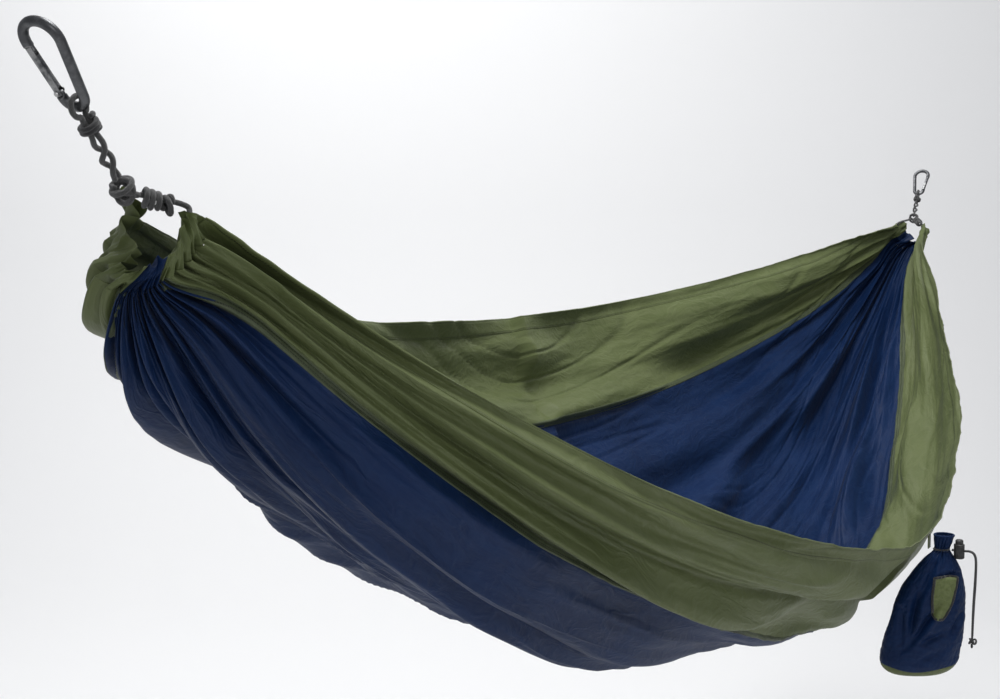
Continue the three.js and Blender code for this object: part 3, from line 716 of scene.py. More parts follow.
# Each dent's start and end on the sack's face, as (sideways, down), with its width and its depth
SACK_DENTS = (
    ((-0.028, 0.095), (-0.030, 0.178), 0.0055, 0.0052),
    ((0.006, 0.112), (-0.030, 0.182), 0.0055, 0.0050),
    ((0.036, 0.150), (-0.012, 0.172), 0.006, 0.0052),
    ((0.034, 0.062), (0.006, 0.066), 0.0045, 0.0040),
    ((-0.010, 0.050), (-0.026, 0.110), 0.0045, 0.0028),
    ((-0.046, 0.120), (-0.036, 0.190), 0.005, 0.0030),
    ((0.030, 0.182), (-0.010, 0.200), 0.006, 0.0030),
    ((0.044, 0.128), (0.036, 0.160), 0.0045, 0.0026),
)
DENT_RIDGE = (0.009, -0.003)         # from each dent to the ridge beside it


def sack_folds(turn, down, wide):
    """How far the sack's cloth stands off its oval."""
    w = wide * np.cos(turn)
    front = np.clip(-np.sin(turn) * 3, 0, 1)
    around = turn * 3
    around_once = turn / (2 * math.pi)
    gathers = wander(around_once * 32, down * 9, 91) + 0.6 * wander(around_once * 64, down * 22, 92)
    near_neck = 0.6 * np.exp(-((down - NECK_DOWN) / 0.026) ** 2)
    below_neck = 0.5 * np.exp(-(np.clip(down - 0.02, 0, 1) / 0.05) ** 2)
    height = 0.0021 * gathers * (near_neck + below_neck) * np.clip((down - 0.002) / 0.016, 0.25, 1)
    dents = 0
    for start, end, width, depth in SACK_DENTS:
        ridge = crease(w, down, np.add(start, DENT_RIDGE), np.add(end, DENT_RIDGE), width, depth)
        dents = dents + crease(w, down, start, end, width, depth) - 0.45 * ridge
    height = height + 2.1 * dents * front
    back = np.clip(np.sin(turn) * 3, 0, 1)
    slack = wander(around + 4, down * 42, 93) * 0.0026
    slack = slack + wander(around * 2.3, down * 80 + turn * 2, 94) * 0.0012
    height = height + slack * (0.35 * front + back) * np.clip((down - 0.04) / 0.05, 0, 1)
    height = height + 0.0006 * wander(around * 7, down * 240, 95)
    return height * np.clip((SACK_DEEPEST - down) / 0.02, 0, 1)


def sack_point(turn, down, lift=0.0):
    """A point of the sack's cloth, or of something lying a small distance off it."""
    turn, down = np.broadcast_arrays(np.asarray(turn, float), np.asarray(down, float))
    wide, deep = sack_oval(down)
    out = sack_folds(turn, down, wide) + lift
    w_slope, d_slope = np.cos(turn) / np.maximum(wide, 1e-4), np.sin(turn) / np.maximum(deep, 1e-4)
    steep = np.hypot(w_slope, d_slope)
    w = wide * np.cos(turn) + out * w_slope / steep
    d = deep * np.sin(turn) + out * d_slope / steep
    x = SACK_X + w * math.cos(SACK_TURN) - d * math.sin(SACK_TURN)
    y = SACK_Y + SACK_LEAN * (down - NECK_DOWN) + w * math.sin(SACK_TURN) + d * math.cos(SACK_TURN)
    return np.stack([x, y, RIM_Z - down], -1)


def base_seam(turn):
    """How far down the base's seam is, lowest on the face that looks out."""
    to_front = np.angle(np.exp(1j * (turn + 1.75)))
    return SACK_SIDES + 0.011 + 0.011 * np.exp(-(to_front / 0.8) ** 2)


def round_sack():
    """The turns of the sack's columns."""
    return np.linspace(0, 2 * math.pi, SACK_ROUND + 1)[None, :-1]


def sack_tube(name, turn, down):
    """Cloth all round the sack, at the depths given for each row and column."""
    around = np.linspace(0, SACK_FLAT[0], SACK_ROUND + 1)[None, :]
    uv = on_grid(around, np.concatenate([down, down[:, :1]], 1))
    return grid_mesh(name, sack_point(turn, down), uv, closed_columns=True)


def sack_side(name):
    """The navy side of the sack, from its mouth to the base's seam."""
    turn = round_sack()
    mouth_down = SACK_ROWS[0][0]
    down = mouth_down + (base_seam(turn) - mouth_down) * np.linspace(0, 1, 131)[:, None]
    return thicken(sack_tube(name, turn, down), CLOTH)


def sack_bottom(name):
    """The base, from its seam down to the middle of the sack's underside."""
    turn = round_sack()
    share = np.linspace(0, 1, 28)[:, None]
    angle = np.arcsin(np.clip((base_seam(turn) - SACK_SIDES) / SACK_BASE_DEPTH, 0, 1))
    down = SACK_SIDES + SACK_BASE_DEPTH * np.sin(angle + (math.pi / 2 - 0.04 - angle) * share)
    piece = sack_tube(name, turn, down)
    mesh = bmesh.new()
    mesh.from_mesh(piece.data)
    mesh.verts.ensure_lookup_table()
    ring = mesh.verts[-SACK_ROUND:]
    hub = mesh.verts.new(sum((v.co for v in ring), Vector()) / SACK_ROUND)
    for k in range(SACK_ROUND):
        mesh.faces.new((hub, ring[(k + 1) % SACK_ROUND], ring[k])).smooth = True
    bmesh.ops.recalc_face_normals(mesh, faces=mesh.faces)
    mesh.to_mesh(piece.data)
    mesh.free()
    return thicken(piece, 0.0007)


BAND_ROUND = 16


def flattened_rings(path, side, up, width, height):
    """Oval rings along a path, width across side and height along up."""
    turn = np.linspace(0, 2 * math.pi, BAND_ROUND, endpoint=False)[None, :, None]
    return path[:, None] + np.cos(turn) * side[:, None] * width / 2 + np.sin(turn) * up * height / 2


def sack_mouth_roll(name):
    """The hem rolled over at the sack's mouth, closed on itself."""
    width, height = 0.0020, 0.0034
    turn = np.linspace(0, 2 * math.pi, 321)[:-1]
    path = sack_point(turn, np.full_like(turn, SACK_ROWS[0][0] - 0.0006))
    ways = unit(np.roll(path, -1, 0) - np.roll(path, 1, 0))
    side = unit(np.cross(ways, [0, 0, 1.0]))
    up = np.cross(side, ways)
    length = run_lengths(path)
    length = np.concatenate([length, length[-1:] + length[1:2]])
    uv = on_grid(length[:, None], np.linspace(0, width + height, BAND_ROUND + 1)[None, :])
    rings = flattened_rings(path, side, up[:, None], width, height)
    return grid_mesh(name, rings, uv, closed_rows=True, closed_columns=True)


def ribbon(name, points, width, thickness):
    """A flat band with rounded edges, lying in the sack's face."""
    out = np.array([math.sin(SACK_TURN), -math.cos(SACK_TURN), 0])
    side = unit(np.cross(unit(np.gradient(points, axis=0)), out))
    uv = on_grid(run_lengths(points)[:, None], np.linspace(0, width * 2, BAND_ROUND + 1)[None, :])
    rings = flattened_rings(points, side, out, width, thickness)
    return close_ends(grid_mesh(name, rings, uv, closed_columns=True), BAND_ROUND)


def neck_cord(name):
    """The drawcord round the neck, drawn smooth over the cloth's gathers."""
    turn = np.linspace(0, 2 * math.pi, 161)
    points = sack_point(turn, np.full_like(turn, NECK_DOWN), 0.0009)
    smooth = points.copy()
    for _ in range(30):
        smooth[1:-1] = (smooth[:-2] + 2 * smooth[1:-1] + smooth[2:]) / 4
    return braid(name, smooth, CORD)


PATCH_TOP = 0.066
PATCH_TALL = 0.067
PATCH_WIDE = 0.037
PATCH_SIDE = 0.009                   # how far it sits to one side of the sack's middle


def patch_point(across, fall, lift):
    """A point of the shield: across from -1 to 1, fall from 0 (its top) to 1 (its point)."""
    half = PATCH_WIDE / 2 * np.sqrt(np.clip(1 - 0.985 * fall ** 2.4, 0, 1))
    w = PATCH_SIDE + across * half
    down = PATCH_TOP + PATCH_TALL * fall + 0.0016 * (across * across) * (1 - fall)
    wide, _ = sack_oval(down)
    turn = -np.arccos(np.clip(w / wide, -1, 1))
    return sack_point(turn, down, lift)


def shield(name):
    """The plain patch, shaped like a shield."""
    across = np.linspace(-1, 1, 49)[None, :]
    fall = (np.linspace(0, 1, 73)[:, None]) ** 0.9
    points = patch_point(across, fall, 0.0019)
    uv = on_grid(across * PATCH_WIDE / 2, fall * PATCH_TALL)
    return thicken(grid_mesh(name, points, uv), 0.0010)


def shield_border(name):
    """The overlocked edge: a thick satin stitch over the patch's rim."""
    side = np.linspace(0, 1, 60)
    fall = np.concatenate([np.zeros(30), side, side[::-1], [0]])
    across = np.concatenate([np.linspace(1, -1, 30), np.full(60, -1.0), np.full(60, 1.0), [1]])
    points = through(patch_point(across * 0.95, 0.012 + fall * 0.968, 0.0024)[::2], 0.0006)
    return ribbon(name, points, 0.0042, 0.0022)


# ---- the drawcord's tails, side by side through the lock and down to their knot
# Millimetres from where they leave the neck: apart, out from the sack, and up
TAIL_ROUTE = ((0, 0, 0), (0, -6, 0), (0, -12, 0), (0, -19, 0), (0, -27, 0), (0.2, -32, -2.4),
              (0.6, -34.8, -7.4), (1, -35.8, -14), (1.4, -36, -24), (2, -35.8, -36), (2.6, -35.4, -50),
              (2.8, -34.8, -64), (2.6, -34.2, -78), (2, -33.8, -92), (1.2, -33.5, -106),
              (0.5, -33.3, -118), (0, -33.2, -130))
TAIL_EXIT = (SACK_X, -0.3656, RIM_Z - NECK_DOWN)
CORD_APART = 0.00165


def tail_path(side):
    """One tail's middle, side by side with the other."""
    steps = np.array(TAIL_ROUTE) / 1000
    steps[:, 0] = side * (CORD_APART + steps[:, 0])
    return through(TAIL_EXIT + steps, 0.0006)


def tail_knot(name):
    """An overhand knot that ties both tails, with their cut ends below it."""
    centre = np.array(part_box("tail_knot")).mean(0)
    trefoil = []
    for t in np.linspace(0, 2 * math.pi, 61)[:-4]:
        turn = [math.sin(t) + 2 * math.sin(2 * t), math.cos(t) - 2 * math.cos(2 * t), -1.6 * math.sin(3 * t)]
        trefoil.append(centre + 0.0019 * np.array(turn))
    loops = [braid("loop", trefoil, CORD)]
    for side in (-1, 1):
        top = centre + np.array([side * 0.0015, 0, 0.0072])
        loops.append(braid("lead", [top, centre + np.array([side * 0.0005, 0.001, 0.001])], CORD))
        end = centre + np.array([side * 0.0014, 0.0006, -0.0035])
        loops.append(braid("cut_end", [end, end + np.array([side * 0.0006, -0.0004, -0.0065])], CORD))
    return join(name, loops)


# ---- node helpers
class Nodes:
    """Shorter ways to lay out the nodes of one tree."""

    def __init__(self, tree):
        self.tree = tree

    def add(self, kind, inputs=(), **settings):
        node = self.tree.nodes.new(kind)
        for key, value in settings.items():
            setattr(node, key, value)
        for key, value in dict(inputs).items():
            self.put(node.inputs[key], value)
        return node

    def put(self, socket, value):
        if isinstance(value, bpy.types.NodeSocket):
            self.tree.links.new(value, socket)
        else:
            socket.default_value = value

    def math(self, operation, a, b=0.0, c=0.0):
        node = self.tree.nodes.new("ShaderNodeMath")
        node.operation = operation
        for socket, value in zip(node.inputs, (a, b, c)):
            self.put(socket, value)
        return node.outputs[0]

    def vector_math(self, operation, a, b):
        return self.add("ShaderNodeVectorMath", {0: a, 1: b}, operation=operation).outputs[0]

    def noise(self, place, scale, detail, roughness=0.5):
        return self.add("ShaderNodeTexNoise", {"Vector": place, "Scale": scale, "Detail": detail,
                                               "Roughness": roughness}).outputs

    def mix(self, share, a, b):
        node = self.tree.nodes.new("ShaderNodeMix")
        node.data_type = "RGBA"
        self.put(node.inputs[0], share)
        self.put(node.inputs[6], a)
        self.put(node.inputs[7], b)
        return node.outputs[2]

    def band(self, value, low, high):
        """0 below low and 1 above high, smooth between."""
        node = self.add("ShaderNodeMapRange", interpolation_type="SMOOTHSTEP")
        for k, number in enumerate((value, low, high, 0.0, 1.0)):
            self.put(node.inputs[k], number)
        return node.outputs[0]


def effect(name, inputs, outputs):
    """A new node group: inputs as {name: (kind, default)}, outputs as {name: kind}."""
    tree = bpy.data.node_groups.new(name, "ShaderNodeTree")
    for label, (kind, value) in inputs.items():
        socket = tree.interface.new_socket(name=label, in_out="INPUT", socket_type="NodeSocket" + kind)
        if value is not None:
            socket.default_value = value
    for label, kind in outputs.items():
        tree.interface.new_socket(name=label, in_out="OUTPUT", socket_type="NodeSocket" + kind)
    nodes = Nodes(tree)
    return nodes, nodes.add("NodeGroupInput").outputs, nodes.add("NodeGroupOutput").inputs


# ---- surface effects that the materials share
THREADS = 2600.0                     # of the weave, in radians per metre

# Plain weave with a heavier thread at every few: Place is in metres on the cloth
nodes, given, out = effect("ripstop weave", {"Place": ("Vector", None), "Threads": ("Float", THREADS)},
                           {"Height": "Float", "Shade": "Float"})
split = nodes.add("ShaderNodeSeparateXYZ", {"Vector": given["Place"]}).outputs
warp = nodes.math("SINE", nodes.math("MULTIPLY", split["X"], given["Threads"]))
weft = nodes.math("SINE", nodes.math("MULTIPLY", split["Y"], given["Threads"]))
cloth_height = nodes.math("MULTIPLY", nodes.math("ABSOLUTE", warp), nodes.math("ABSOLUTE", weft))
rib_pitch = nodes.math("DIVIDE", given["Threads"], 14.0)
warp_rib = nodes.math("COSINE", nodes.math("MULTIPLY", split["X"], rib_pitch))
weft_rib = nodes.math("COSINE", nodes.math("MULTIPLY", split["Y"], rib_pitch))
ribs = nodes.math("MAXIMUM", nodes.band(warp_rib, 0.93, 0.99), nodes.band(weft_rib, 0.93, 0.99))
slub = nodes.noise(given["Place"], 260.0, 4.0)["Fac"]
low_threads = nodes.math("MULTIPLY", cloth_height, 0.4)
nodes.put(out["Height"], nodes.math("ADD", low_threads, nodes.math("MULTIPLY", ribs, 0.6)))
nodes.put(out["Shade"], nodes.math("MULTIPLY", nodes.math("ADD", ribs, slub), 0.5))
WEAVE = nodes.tree

# The short sharp creases of thin nylon, at two sizes, in different directions
nodes, given, out = effect("nylon creases", {"Place": ("Vector", None), "Size": ("Float", 0.03)},
                           {"Height": "Float", "Line": "Float"})
warped = nodes.noise(given["Place"], 9.0, 2.0)["Color"]
pushed = nodes.vector_math("MULTIPLY", warped, (0.09, 0.09, 0.09))
place = nodes.vector_math("ADD", given["Place"], pushed)
per_metre = nodes.math("DIVIDE", 1.0, given["Size"])
lines = []
for angle, stretch, weight, finer in ((0.12, 0.16, 1.0, 1.0), (-0.35, 0.22, 0.7, 1.8), (1.3, 0.4, 0.3, 2.6)):
    turned = nodes.add("ShaderNodeMapping", {"Vector": place, "Rotation": (0, 0, angle),
                                             "Scale": (stretch * finer, finer, finer)}).outputs[0]
    noise = nodes.noise(turned, per_metre, 1.5, 0.45)["Fac"]
    ridge = nodes.math("ABSOLUTE", nodes.math("SUBTRACT", noise, 0.5))
    sharp = nodes.math("SUBTRACT", 1.0, nodes.band(ridge, 0.0, 0.13))
    lines.append(nodes.math("MULTIPLY", sharp, weight))
total = nodes.math("ADD", nodes.math("ADD", lines[0], lines[1]), lines[2])
soft = nodes.noise(place, per_metre, 3.0)["Fac"]
nodes.put(out["Height"], nodes.math("ADD", nodes.math("MULTIPLY", total, 0.5), soft))
nodes.put(out["Line"], total)
CREASES = nodes.tree

# Rows of lock stitch at two distances across a band
nodes, given, out = effect("stitch rows", {"Place": ("Vector", None), "First": ("Float", 0.003),
                                           "Second": ("Float", 0.02), "Pitch": ("Float", 0.0032)},
                           {"Mask": "Float", "Height": "Float"})
split = nodes.add("ShaderNodeSeparateXYZ", {"Vector": given["Place"]}).outputs
along = nodes.math("FRACT", nodes.math("DIVIDE", split["X"], given["Pitch"]))
from_middle = nodes.math("ABSOLUTE", nodes.math("SUBTRACT", along, 0.5))
dash = nodes.math("SUBTRACT", 1.0, nodes.band(from_middle, 0.30, 0.42))
rows = []
grooves = []
for label in ("First", "Second"):
    off = nodes.math("ABSOLUTE", nodes.math("SUBTRACT", split["Y"], given[label]))
    rows.append(nodes.math("SUBTRACT", 1.0, nodes.band(off, 0.00028, 0.00055)))
    grooves.append(nodes.math("SUBTRACT", 1.0, nodes.band(off, 0.0003, 0.0022)))
thread = nodes.math("MULTIPLY", nodes.math("MAXIMUM", rows[0], rows[1]), dash)
groove = nodes.math("MAXIMUM", grooves[0], grooves[1])
nodes.put(out["Mask"], thread)
nodes.put(out["Height"], nodes.math("SUBTRACT", nodes.math("MULTIPLY", thread, 0.6), groove))
STITCHES = nodes.tree

# Crossing strands of a braid: Place is (along, around) in metres
nodes, given, out = effect("braid strands", {"Place": ("Vector", None), "Strand": ("Float", 0.0012)},
                           {"Height": "Float", "Groove": "Float", "Fibre": "Float"})
split = nodes.add("ShaderNodeSeparateXYZ", {"Vector": given["Place"]}).outputs
turns = nodes.math("DIVIDE", 2 * math.pi, given["Strand"])
left = nodes.math("SINE", nodes.math("MULTIPLY", nodes.math("ADD", split["X"], split["Y"]), turns))
right = nodes.math("SINE", nodes.math("MULTIPLY", nodes.math("SUBTRACT", split["X"], split["Y"]), turns))
tall = nodes.math("MAXIMUM", left, right)
fibre = nodes.noise(given["Place"], 5200.0, 2.0)["Fac"]
nodes.put(out["Height"], nodes.math("ADD", tall, nodes.math("MULTIPLY", fibre, 0.25)))
# Groove masks the gaps between the strands, which the rope's colour darkens as painted shade
nodes.put(out["Groove"], nodes.math("SUBTRACT", 1.0, nodes.band(tall, -0.2, 0.6)))
nodes.put(out["Fibre"], fibre)
BRAID = nodes.tree

# Rubbed places and grime: Place is the object's own space, in metres
nodes, given, out = effect("rubbed wear", {"Place": ("Vector", None), "Size": ("Float", 0.01),
                                           "Amount": ("Float", 0.5)},
                           {"Worn": "Float", "Grime": "Float", "Height": "Float"})
per_metre = nodes.math("DIVIDE", 1.0, given["Size"])
broad = nodes.noise(given["Place"], per_metre, 5.0, 0.6)["Fac"]
drawn = nodes.add("ShaderNodeMapping", {"Vector": given["Place"], "Scale": (1, 6, 1),
                                        "Rotation": (0.4, 0.2, 0.5)}).outputs[0]
scratch = nodes.noise(drawn, nodes.math("MULTIPLY", per_metre, 9.0), 2.0)["Fac"]
from_middle = nodes.math("ABSOLUTE", nodes.math("SUBTRACT", scratch, 0.5))
line = nodes.math("SUBTRACT", 1.0, nodes.band(from_middle, 0.0, 0.03))
edge = nodes.band(nodes.add("ShaderNodeNewGeometry").outputs["Pointiness"], 0.51, 0.56)
worn = nodes.math("MULTIPLY", nodes.math("ADD", nodes.math("MULTIPLY", line, 0.35), edge),
                  nodes.math("MULTIPLY", nodes.band(broad, 0.4, 0.62), given["Amount"]))
nodes.put(out["Worn"], nodes.math("MINIMUM", worn, 1.0))
nodes.put(out["Grime"], nodes.math("SUBTRACT", 1.0, nodes.band(broad, 0.38, 0.6)))
nodes.put(out["Height"], nodes.math("SUBTRACT", broad, nodes.math("MULTIPLY", line, 0.3)))
WEAR = nodes.tree


# ---- materials
def new_material(name, **surface):
    """A material, its nodes and its shader, with the plain values given set on the shader."""
    material = bpy.data.materials.new(name)
    material.use_nodes = True
    nodes = Nodes(material.node_tree)
    shader = material.node_tree.nodes["Principled BSDF"]
    for key, value in surface.items():
        shader.inputs[key.replace("_", " ").title().replace("Ior", "IOR")].default_value = value
    return material, nodes, shader


def use_group(nodes, tree, **inputs):
    """Places a shared effect in a material."""
    node = nodes.tree.nodes.new("ShaderNodeGroup")
    node.node_tree = tree
    for key, value in inputs.items():
        nodes.put(node.inputs[key], value)
    return node.outputs


def bumped(nodes, shader, layers):
    """Bump layers of (height, strength, distance), each on the last."""
    normal = None
    for height, strength, distance in layers:
        inputs = {"Height": height, "Strength": strength, "Distance": distance}
        if normal:
            inputs["Normal"] = normal
        normal = nodes.add("ShaderNodeBump", inputs).outputs[0]
    nodes.put(shader.inputs["Normal"], normal)


def nylon(name, colours, creases, stitches=None, thread=None, sheen=0.03, rough=0.5, gloss=0.22):
    """Thin coated nylon: weave, creases of a size and depth, a little fading and its sheen."""
    light, deep, faded = colours
    size, depth = creases
    material, nodes, shader = new_material(name, sheen_weight=sheen, sheen_roughness=0.35,
                                           specular_ior_level=gloss)
    place = nodes.add("ShaderNodeUVMap", uv_map="cloth").outputs[0]
    weave = use_group(nodes, WEAVE, Place=place, Threads=THREADS)
    lines = use_group(nodes, CREASES, Place=place, Size=size)
    small = use_group(nodes, CREASES, Place=place, Size=size * 0.36)
    patchy = nodes.noise(place, 3.2, 5.0, 0.62)["Fac"]
    colour = nodes.mix(nodes.band(patchy, 0.35, 0.68), deep, light)
    colour = nodes.mix(nodes.math("MULTIPLY", nodes.band(lines["Line"], 0.5, 1.3), 0.22), colour, faded)
    colour = nodes.mix(nodes.math("MULTIPLY", weave["Shade"], 0.16), colour, faded)
    layers = [(lines["Height"], 0.45, depth), (small["Height"], 0.3, depth * 0.3),
              (weave["Height"], 0.35, 0.00012)]
    if stitches:
        rows = use_group(nodes, STITCHES, Place=place, First=stitches[0], Second=stitches[1])
        colour = nodes.mix(nodes.math("MULTIPLY", rows["Mask"], 0.9), colour, thread)
        layers.append((rows["Height"], 0.8, 0.0006))
    nodes.put(shader.inputs["Base Color"], colour)
    dull = nodes.math("ADD", nodes.math("MULTIPLY", patchy, 0.16), rough - 0.08)
    nodes.put(shader.inputs["Roughness"], dull)
    bumped(nodes, shader, layers)
    return material


def rope_material(name, strand, light, deep, worn):
    """Braided cord or thread, with its fibres, painted shade in the grooves between its strands, and some
    grime.
    """
    material, nodes, shader = new_material(name, sheen_weight=0.35, sheen_roughness=0.5,
                                           specular_ior_level=0.35)
    place = nodes.add("ShaderNodeUVMap", uv_map="cloth").outputs[0]
    strands = use_group(nodes, BRAID, Place=place, Strand=strand)
    whole = nodes.add("ShaderNodeTexCoord").outputs["Object"]
    wear = use_group(nodes, WEAR, Place=whole, Size=0.018, Amount=0.5)
    # Painted shade: the gaps between the strands take the deep colour
    colour = nodes.mix(strands["Groove"], light, deep)
    colour = nodes.mix(nodes.math("MULTIPLY", strands["Fibre"], 0.35), colour, worn)
    colour = nodes.mix(nodes.math("MULTIPLY", wear["Grime"], 0.25), colour, deep)
    nodes.put(shader.inputs["Base Color"], colour)
    dull = nodes.math("ADD", nodes.math("MULTIPLY", strands["Fibre"], 0.2), 0.62)
    nodes.put(shader.inputs["Roughness"], dull)
    bumped(nodes, shader, [(strands["Height"], 0.7, strand * 0.22)])
    return material


def hard_material(name, colours, rough, wear_size, amount, depth, **surface):
    """Metal or plastic: plain, grimed and rubbed bare in places."""
    plain, dark, bare = colours
    material, nodes, shader = new_material(name, **surface)
    place = nodes.add("ShaderNodeTexCoord").outputs["Object"]
    wear = use_group(nodes, WEAR, Place=place, Size=wear_size, Amount=amount)
    grain = nodes.noise(place, 2400.0, 3.0)["Fac"]
    colour = nodes.mix(nodes.math("MULTIPLY", wear["Grime"], 0.6), plain, dark)
    colour = nodes.mix(wear["Worn"], colour, bare)
    nodes.put(shader.inputs["Base Color"], colour)
    polished = nodes.math("SUBTRACT", nodes.math("ADD", rough, nodes.math("MULTIPLY", grain, 0.16)),
                          nodes.math("MULTIPLY", wear["Worn"], rough * 0.4))
    nodes.put(shader.inputs["Roughness"], polished)
    bumped(nodes, shader, [(wear["Height"], 0.25, depth), (grain, 0.3, depth * 0.25)])
    return material


# The light, deep and faded colours of each nylon, and the plain, dark and bare ones of what is hard
OLIVE = (0.112, 0.136, 0.052, 1), (0.086, 0.108, 0.038, 1), (0.150, 0.172, 0.082, 1)
NAVY = (0.0046, 0.0200, 0.076, 1), (0.0026, 0.0130, 0.052, 1), (0.010, 0.032, 0.098, 1)
SEAM_OLIVE = (0.072, 0.090, 0.046, 1), (0.050, 0.066, 0.034, 1), (0.12, 0.14, 0.08, 1)
PATCH_OLIVE = (0.135, 0.165, 0.062, 1), (0.100, 0.125, 0.044, 1), (0.2, 0.23, 0.11, 1)
GUNMETAL = (0.115, 0.118, 0.124, 1), (0.060, 0.061, 0.064, 1), (0.36, 0.36, 0.36, 1)
STEEL = (0.42, 0.42, 0.42, 1), (0.22, 0.22, 0.22, 1), (0.6, 0.6, 0.6, 1)
BLACK = (0.020, 0.020, 0.021, 1), (0.011, 0.011, 0.011, 1), (0.06, 0.06, 0.06, 1)
OLIVE_THREAD = (0.042, 0.050, 0.022, 1)
NAVY_THREAD = (0.004, 0.010, 0.032, 1)
SEAM_THREAD = (0.018, 0.022, 0.014, 1)
NAVY_GLOSS = 0.14

olive_nylon = nylon("olive nylon", OLIVE, (0.022, 0.0014))
olive_hem = nylon("olive nylon hem", OLIVE, (0.016, 0.0009), stitches=(0.0022, 0.0225), thread=OLIVE_THREAD)
olive_ruffle = nylon("olive nylon ruffle", OLIVE, (0.05, 0.0007))
navy_nylon = nylon("navy nylon", NAVY, (0.022, 0.0014), gloss=NAVY_GLOSS)
navy_ruffle = nylon("navy nylon ruffle", NAVY, (0.05, 0.0007), gloss=NAVY_GLOSS)
navy_sack = nylon("navy nylon sack", NAVY, (0.020, 0.0009), gloss=NAVY_GLOSS, stitches=(0.0245, 0.0315),
                  thread=NAVY_THREAD)
olive_base = nylon("olive nylon base", OLIVE, (0.014, 0.0007))
seam_nylon = nylon("olive nylon seam", SEAM_OLIVE, (0.012, 0.0006), stitches=(0.0016, 0.0074),
                   thread=SEAM_THREAD)
patch_twill = nylon("patch twill", PATCH_OLIVE, (0.008, 0.0002), rough=0.62, sheen=0.4)
# Each braid's light colour, its deep one (painted shade between the strands, and grime) and its worn one
border_thread = rope_material("patch border thread", 0.0006, (0.012, 0.013, 0.012, 1),
                              (0.003, 0.003, 0.003, 1), (0.03, 0.03, 0.03, 1))
rope_braid = rope_material("rope braid", 0.0016, (0.060, 0.060, 0.060, 1), (0.014, 0.014, 0.014, 1),
                           (0.125, 0.125, 0.120, 1))
cord_braid = rope_material("cord braid", 0.0010, (0.022, 0.022, 0.023, 1), (0.005, 0.005, 0.005, 1),
                           (0.055, 0.055, 0.055, 1))
gunmetal = hard_material("gunmetal", GUNMETAL, 0.30, 0.012, 0.8, 0.0002, metallic=1.0, coat_weight=0.15,
                         coat_roughness=0.25)
steel = hard_material("spring steel", STEEL, 0.26, 0.006, 0.5, 0.0001, metallic=1.0)
plastic = hard_material("black plastic", BLACK, 0.42, 0.008, 0.4, 0.00015, metallic=0.0,
                        specular_ior_level=0.5)


def repaint(node, material):
    """Gives a piece that stays as it is its own material."""
    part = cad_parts[node]
    part.data.materials.clear()
    part.data.materials.append(material)
    return part


def finish_piece(piece, material, body, slot, *nodes):
    """Puts a piece's material on it, and the piece on its body in place of its plain nodes."""
    piece.data.materials.clear()
    piece.data.materials.append(material)
    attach(piece, body)
    if nodes:
        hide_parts(*nodes)
    return piece


# ---- the bed
def constant(value):
    return lambda along: np.full_like(along, value)


rim_in, rim_out = hem_share(0), 1 - hem_share(1)
near = panel("near_side_cloth", constant(0.0), near_seam, 96)
centre = panel("centre_cloth", near_seam, far_seam, 200)
far = panel("far_side_cloth", far_seam, constant(1.0), 96)
finish_piece(near, olive_nylon, "bed", "olive_nylon", "side_panel_near")
finish_piece(centre, navy_nylon, "bed", "navy_nylon", "centre_panel")
finish_piece(far, olive_nylon, "bed", "olive_nylon", "side_panel_far")
hem_near = strip("near_rim_hem", constant(0.0), constant(rim_in), 10, 0.0018)
hem_far = strip("far_rim_hem", constant(rim_out), constant(1.0), 10, 0.0018)
finish_piece(hem_near, olive_hem, "bed", "olive_nylon", "rim_hem_near")
finish_piece(hem_far, olive_hem, "bed", "olive_nylon", "rim_hem_far")
seam_1 = strip("near_seam", seam_edge(near_seam, -1), seam_edge(near_seam, 1), 6, 0.0020)
seam_2 = strip("far_seam", seam_edge(far_seam, -1), seam_edge(far_seam, 1), 6, 0.0020)
finish_piece(seam_1, seam_nylon, "bed", "olive_nylon", "seam_near")
finish_piece(seam_2, seam_nylon, "bed", "olive_nylon", "seam_far")
sleeves = ([], [], [])
sleeve_cloths = (("near_side", olive_ruffle, "olive_nylon"), ("centre", navy_ruffle, "navy_nylon"),
                 ("far_side", olive_ruffle, "olive_nylon"))
for name, end in (("near", -1), ("far", 1)):
    cuts = (0.0, near_seam(end), far_seam(end), 1.0)
    for k, (part, cloth, slot) in enumerate(sleeve_cloths):
        sleeve = end_sleeve(f"{name}_end_{part}_sleeve", end, cuts[k], cuts[k + 1])
        sleeves[k].append(finish_piece(sleeve, cloth, "bed", slot, f"end_sleeve_{name}"))
    finish_piece(end_rope(f"{name}_end_rope", end), rope_braid, "bed", "rope", f"end_rope_{name}")
    finish_piece(hang_loop(f"{name}_hang_loop", end), rope_braid, "bed", "rope", f"hang_loop_{name}")
    finish_piece(eye_knot(f"{name}_eye_knot", end), cord_braid, "bed", "rope", f"eye_knot_{name}")
    finish_piece(gather_knot(f"{name}_gather_knot", end), rope_braid, "bed", "rope", f"gather_knot_{name}")
    finish_piece(rope_wraps(f"{name}_rope_wraps", end), rope_braid, "bed", "rope")
    finish_piece(hook_body(f"{name}_hook", end), gunmetal, "hooks", "gunmetal", f"hook_{name}")
    repaint(f"gate_{name}", gunmetal)
    repaint(f"gate_rivet_{name}", steel)
    repaint(f"gate_spring_{name}", steel)

# ---- the sack
sack = finish_piece(sack_side("sack_cloth"), navy_sack, "sack", "navy_nylon", "sack_body")
bottom = finish_piece(sack_bottom("sack_bottom"), olive_base, "sack", "olive_nylon", "sack_base")
mouth = finish_piece(sack_mouth_roll("sack_mouth_hem"), navy_sack, "sack", "navy_nylon", "sack_hem")
finish_piece(neck_cord("neck_cord"), cord_braid, "sack", "cord", "drawcord")
badge = finish_piece(shield("shield_patch"), patch_twill, "sack", "patch", "patch")
border = finish_piece(shield_border("patch_border"), border_thread, "sack", "patch")
repaint("sack_tab", olive_hem)

